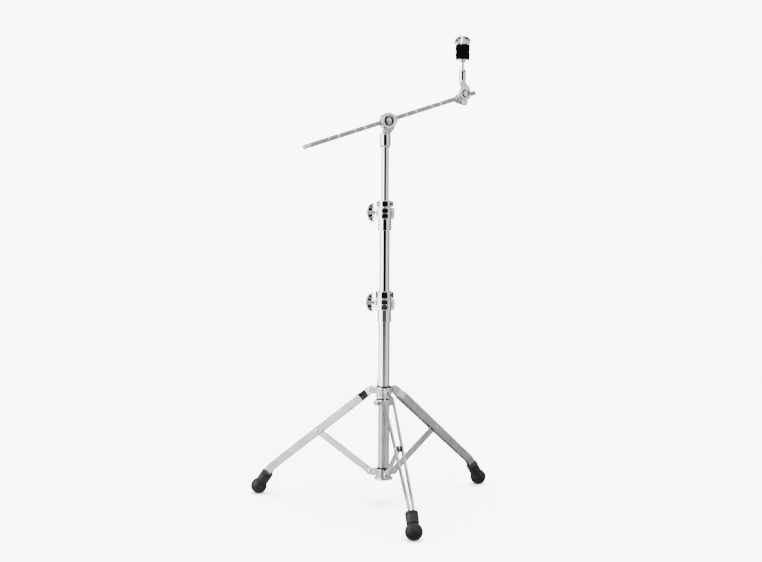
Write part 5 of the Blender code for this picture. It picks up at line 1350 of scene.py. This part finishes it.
def wing_nut(post):
    """The wing nut on the post, broadside on to the clamps' front."""
    bottom, top = heights("cymbal_wing_nut")
    flat = bottom + 0.0010
    profile = [(0.0, top), (0.0034, top - 0.0002), (0.0050, top - 0.0060), (0.0060, flat + 0.0030),
               (0.0074, flat + 0.0012), (0.0085, flat + 0.0002), (0.0085, bottom), (0.0, bottom)]
    made = lathe("cymbal_wing_nut_fine", profile, post, 0.0004)
    wing_axis = joint_axis("lower_wing_bolt_turn")
    blade_place = placed((post.translation.x, post.translation.y, 0.0), UP, -wing_axis)
    join(made, wing_blade("wing_nut_blade", WING_NUT_HALF, flat, top - flat, blade_place))
    cut(made, rod("wing_nut_bore", ROD_R + GAP, bottom - THROUGH, heights("cymbal_rod")[1] + GAP, post))
    dress(made, "wing_nut", "chrome", "cymbal_wing_nut")


# ---------------------------------------------------------------- studio
def glowing(name, strength):
    """A staging material that only glows, and its node tree."""
    made = bpy.data.materials.new(name)
    made.use_nodes = True
    tree = made.node_tree
    glow = add_node(tree, "ShaderNodeEmission", {"Strength": strength})
    tree.links.new(glow.outputs["Emission"], tree.nodes["Material Output"].inputs["Surface"])
    return made, tree, glow


def seen_only_by(piece, *rays):
    for kind in ("camera", "diffuse", "glossy", "transmission", "volume_scatter", "shadow"):
        setattr(piece, "visible_" + kind, kind in rays)


def stage_disc(name, radius, height):
    work = bmesh.new()
    bmesh.ops.create_circle(work, cap_ends=True, segments=96, radius=radius)
    return new_piece(name, work, ON_MAST @ along(z=height))


def pale_floor():
    """A pale floor, which glows a little to meet the backdrop, and a ceiling for the chrome to see."""
    made = stage_disc("floor", FLOOR_RADIUS, 0.0)
    material = bpy.data.materials.new("pale_floor")
    material.use_nodes = True
    shader = material.node_tree.nodes["Principled BSDF"]
    shader.inputs["Base Color"].default_value = (*FLOOR_COLOUR, 1.0)
    shader.inputs["Roughness"].default_value = 0.85
    shader.inputs["Specular IOR Level"].default_value = 0.1
    shader.inputs["Emission Color"].default_value = (1.0, 1.0, 1.0, 1.0)
    shader.inputs["Emission Strength"].default_value = FLOOR_GLOW
    made.data.materials.append(material)
    seen_only_by(made, "camera", "shadow")
    ceiling = stage_disc("ceiling", WALL_RADIUS, WALL_HEIGHT)
    ceiling.data.materials.append(glowing("ceiling", CEILING_GLOW)[0])
    seen_only_by(ceiling, "glossy")


def reflected_floor():
    """The floor that the chrome sees: uneven greys, with a little of the walls in it."""
    made = stage_disc("reflected_floor", WALL_RADIUS, 0.0)
    made.matrix_world = ON_MAST @ turn(CAMERA_AZIMUTH, "Z")
    material, tree, glow = glowing("reflected_floor", 1.0)
    direction = add_node(tree, "ShaderNodeTexCoord").outputs["Object"]
    patches = spread(tree, grain(tree, 2.6, 2.0, (1.0, 2.2, 1.0)), 0.0, 1.0, 0.40, 0.56)
    dark, light = ((level, level, level, 1.0) for level in REFLECTED_FLOOR)
    uneven = blend_colour(tree, patches, dark, light)
    mixed = blend_colour(tree, REFLECTED_WALL_SHARE, uneven, wall_ramp(tree, direction))
    tree.links.new(mixed, glow.inputs["Color"])
    made.data.materials.append(material)
    seen_only_by(made, "glossy")


def backdrop():
    """A white dome behind everything, which only the camera sees."""
    work = bmesh.new()
    bmesh.ops.create_uvsphere(work, u_segments=64, v_segments=32, radius=FLOOR_RADIUS * 1.02)
    made = new_piece("backdrop", work, Matrix())
    made.data.materials.append(glowing("white_backdrop", BACKDROP_GLOW)[0])
    seen_only_by(made, "camera")


def wall_ramp(tree, direction):
    """The brightness of the studio's panels round the stand, with short soft edges between them."""
    gradient = add_node(tree, "ShaderNodeTexGradient", {"Vector": direction}, gradient_type="RADIAL")
    around = gradient.outputs["Fac"]
    ramp = add_node(tree, "ShaderNodeValToRGB", {"Fac": around})
    stops = sorted((((degrees - 90.0) / 360.0 + 0.5) % 1.0, level)
                   for start, end, level in PANELS for degrees in (start, end))
    elements = ramp.color_ramp.elements
    for element, (share, level) in zip(elements, (stops[0], stops[-1])):
        element.position = share
        element.color = (level, level, level, 1.0)
    for share, level in stops[1:-1]:
        elements.new(share).color = (level, level, level, 1.0)
    return ramp.outputs["Color"]


def studio_walls():
    """Light and dark panels in a ring round the stand, for the chrome to reflect. Nothing else sees them."""
    work = bmesh.new()
    steps = 180
    rows = []
    for k in range(steps):
        angle = 2 * math.pi * k / steps
        x, y = WALL_RADIUS * math.cos(angle), WALL_RADIUS * math.sin(angle)
        rows.append((work.verts.new((x, y, 0.0)), work.verts.new((x, y, WALL_HEIGHT))))
    for (low, high), (next_low, next_high) in zip(rows, rows[1:] + rows[:1]):
        work.faces.new((low, next_low, next_high, high))
    made = new_piece("studio_walls", work, ON_MAST @ turn(CAMERA_AZIMUTH, "Z"))
    material, tree, glow = glowing("studio_panels", 1.0)
    direction = add_node(tree, "ShaderNodeTexCoord").outputs["Object"]
    panels = wall_ramp(tree, direction)
    height = add_node(tree, "ShaderNodeSeparateXYZ", {"Vector": direction}).outputs["Z"]
    open_top = spread(tree, height, 0.0, 1.0, *DARK_TOP)
    lightened = add_node(tree, "ShaderNodeMix", {0: open_top, 6: panels, 7: (ABOVE_DARK,) * 3 + (1.0,)},
                     data_type="RGBA", blend_type="LIGHTEN")
    near_floor = spread(tree, height, 1.0, 0.0, 0.0, LOW_FADE)
    low_grey = (LOW_GREY,) * 3 + (1.0,)
    faded = add_node(tree, "ShaderNodeMix", {0: near_floor, 6: lightened.outputs[2], 7: low_grey},
                 data_type="RGBA", blend_type="LIGHTEN")
    tree.links.new(faded.outputs[2], glow.inputs["Color"])
    made.data.materials.append(material)
    seen_only_by(made, "glossy")


def daylight():
    world = bpy.data.worlds.new("daylight")
    world.use_nodes = True
    background = world.node_tree.nodes["Background"]
    background.inputs["Color"].default_value = (1.0, 1.0, 1.0, 1.0)
    background.inputs["Strength"].default_value = DAYLIGHT
    bpy.context.scene.world = world


def overhead_light():
    """A wide soft light from straight above. Reflections see the ceiling instead."""
    light = bpy.data.lights.new("overhead_light", "SUN")
    light.energy = OVERHEAD_STRENGTH
    light.angle = OVERHEAD_SPREAD
    made = bpy.data.objects.new("overhead_light", light)
    bpy.context.scene.collection.objects.link(made)
    made.visible_glossy = False


def camera():
    made = bpy.data.objects.new("camera", bpy.data.cameras.new("camera"))
    bpy.context.scene.collection.objects.link(made)
    azimuth = math.radians(CAMERA_AZIMUTH)
    made.location = MAST + Vector((math.sin(azimuth) * CAMERA_DISTANCE, -math.cos(azimuth) * CAMERA_DISTANCE,
                                   CAMERA_HEIGHT))
    facing = Matrix.Rotation(azimuth + math.radians(CAMERA_YAW), 4, "Z")
    tilt = Matrix.Rotation(math.radians(90.0 + CAMERA_PITCH), 4, "X")
    roll = Matrix.Rotation(math.radians(CAMERA_ROLL), 4, "Z")
    made.rotation_euler = (facing @ tilt @ roll).to_euler()
    made.data.lens = LENS
    made.data.sensor_width = SENSOR
    bpy.context.scene.camera = made


# ---------------------------------------------------------------- the stand in its studio
tube("base_tube", "base")
tube("middle_tube", "middle")
tube("upper_tube", "upper")
lower_hub()
upper_hub()
leg_lock()
for leg_index in (1, 2, 3):
    leg(leg_index)
    brace(leg_index)
height_clamp("lower", (BASE_TUBE_R, MIDDLE_TUBE_R), ("base", "lower_lock"), "lower_wing")
height_clamp("upper", (MIDDLE_TUBE_R, UPPER_TUBE_R), ("middle", "upper_lock"), "upper_wing")
tilter_casting()
boom_holder()
boom()
tilter_base()
tilter_neck()
cymbal_seat()

pale_floor()
reflected_floor()
backdrop()
studio_walls()
daylight()
overhead_light()
camera()
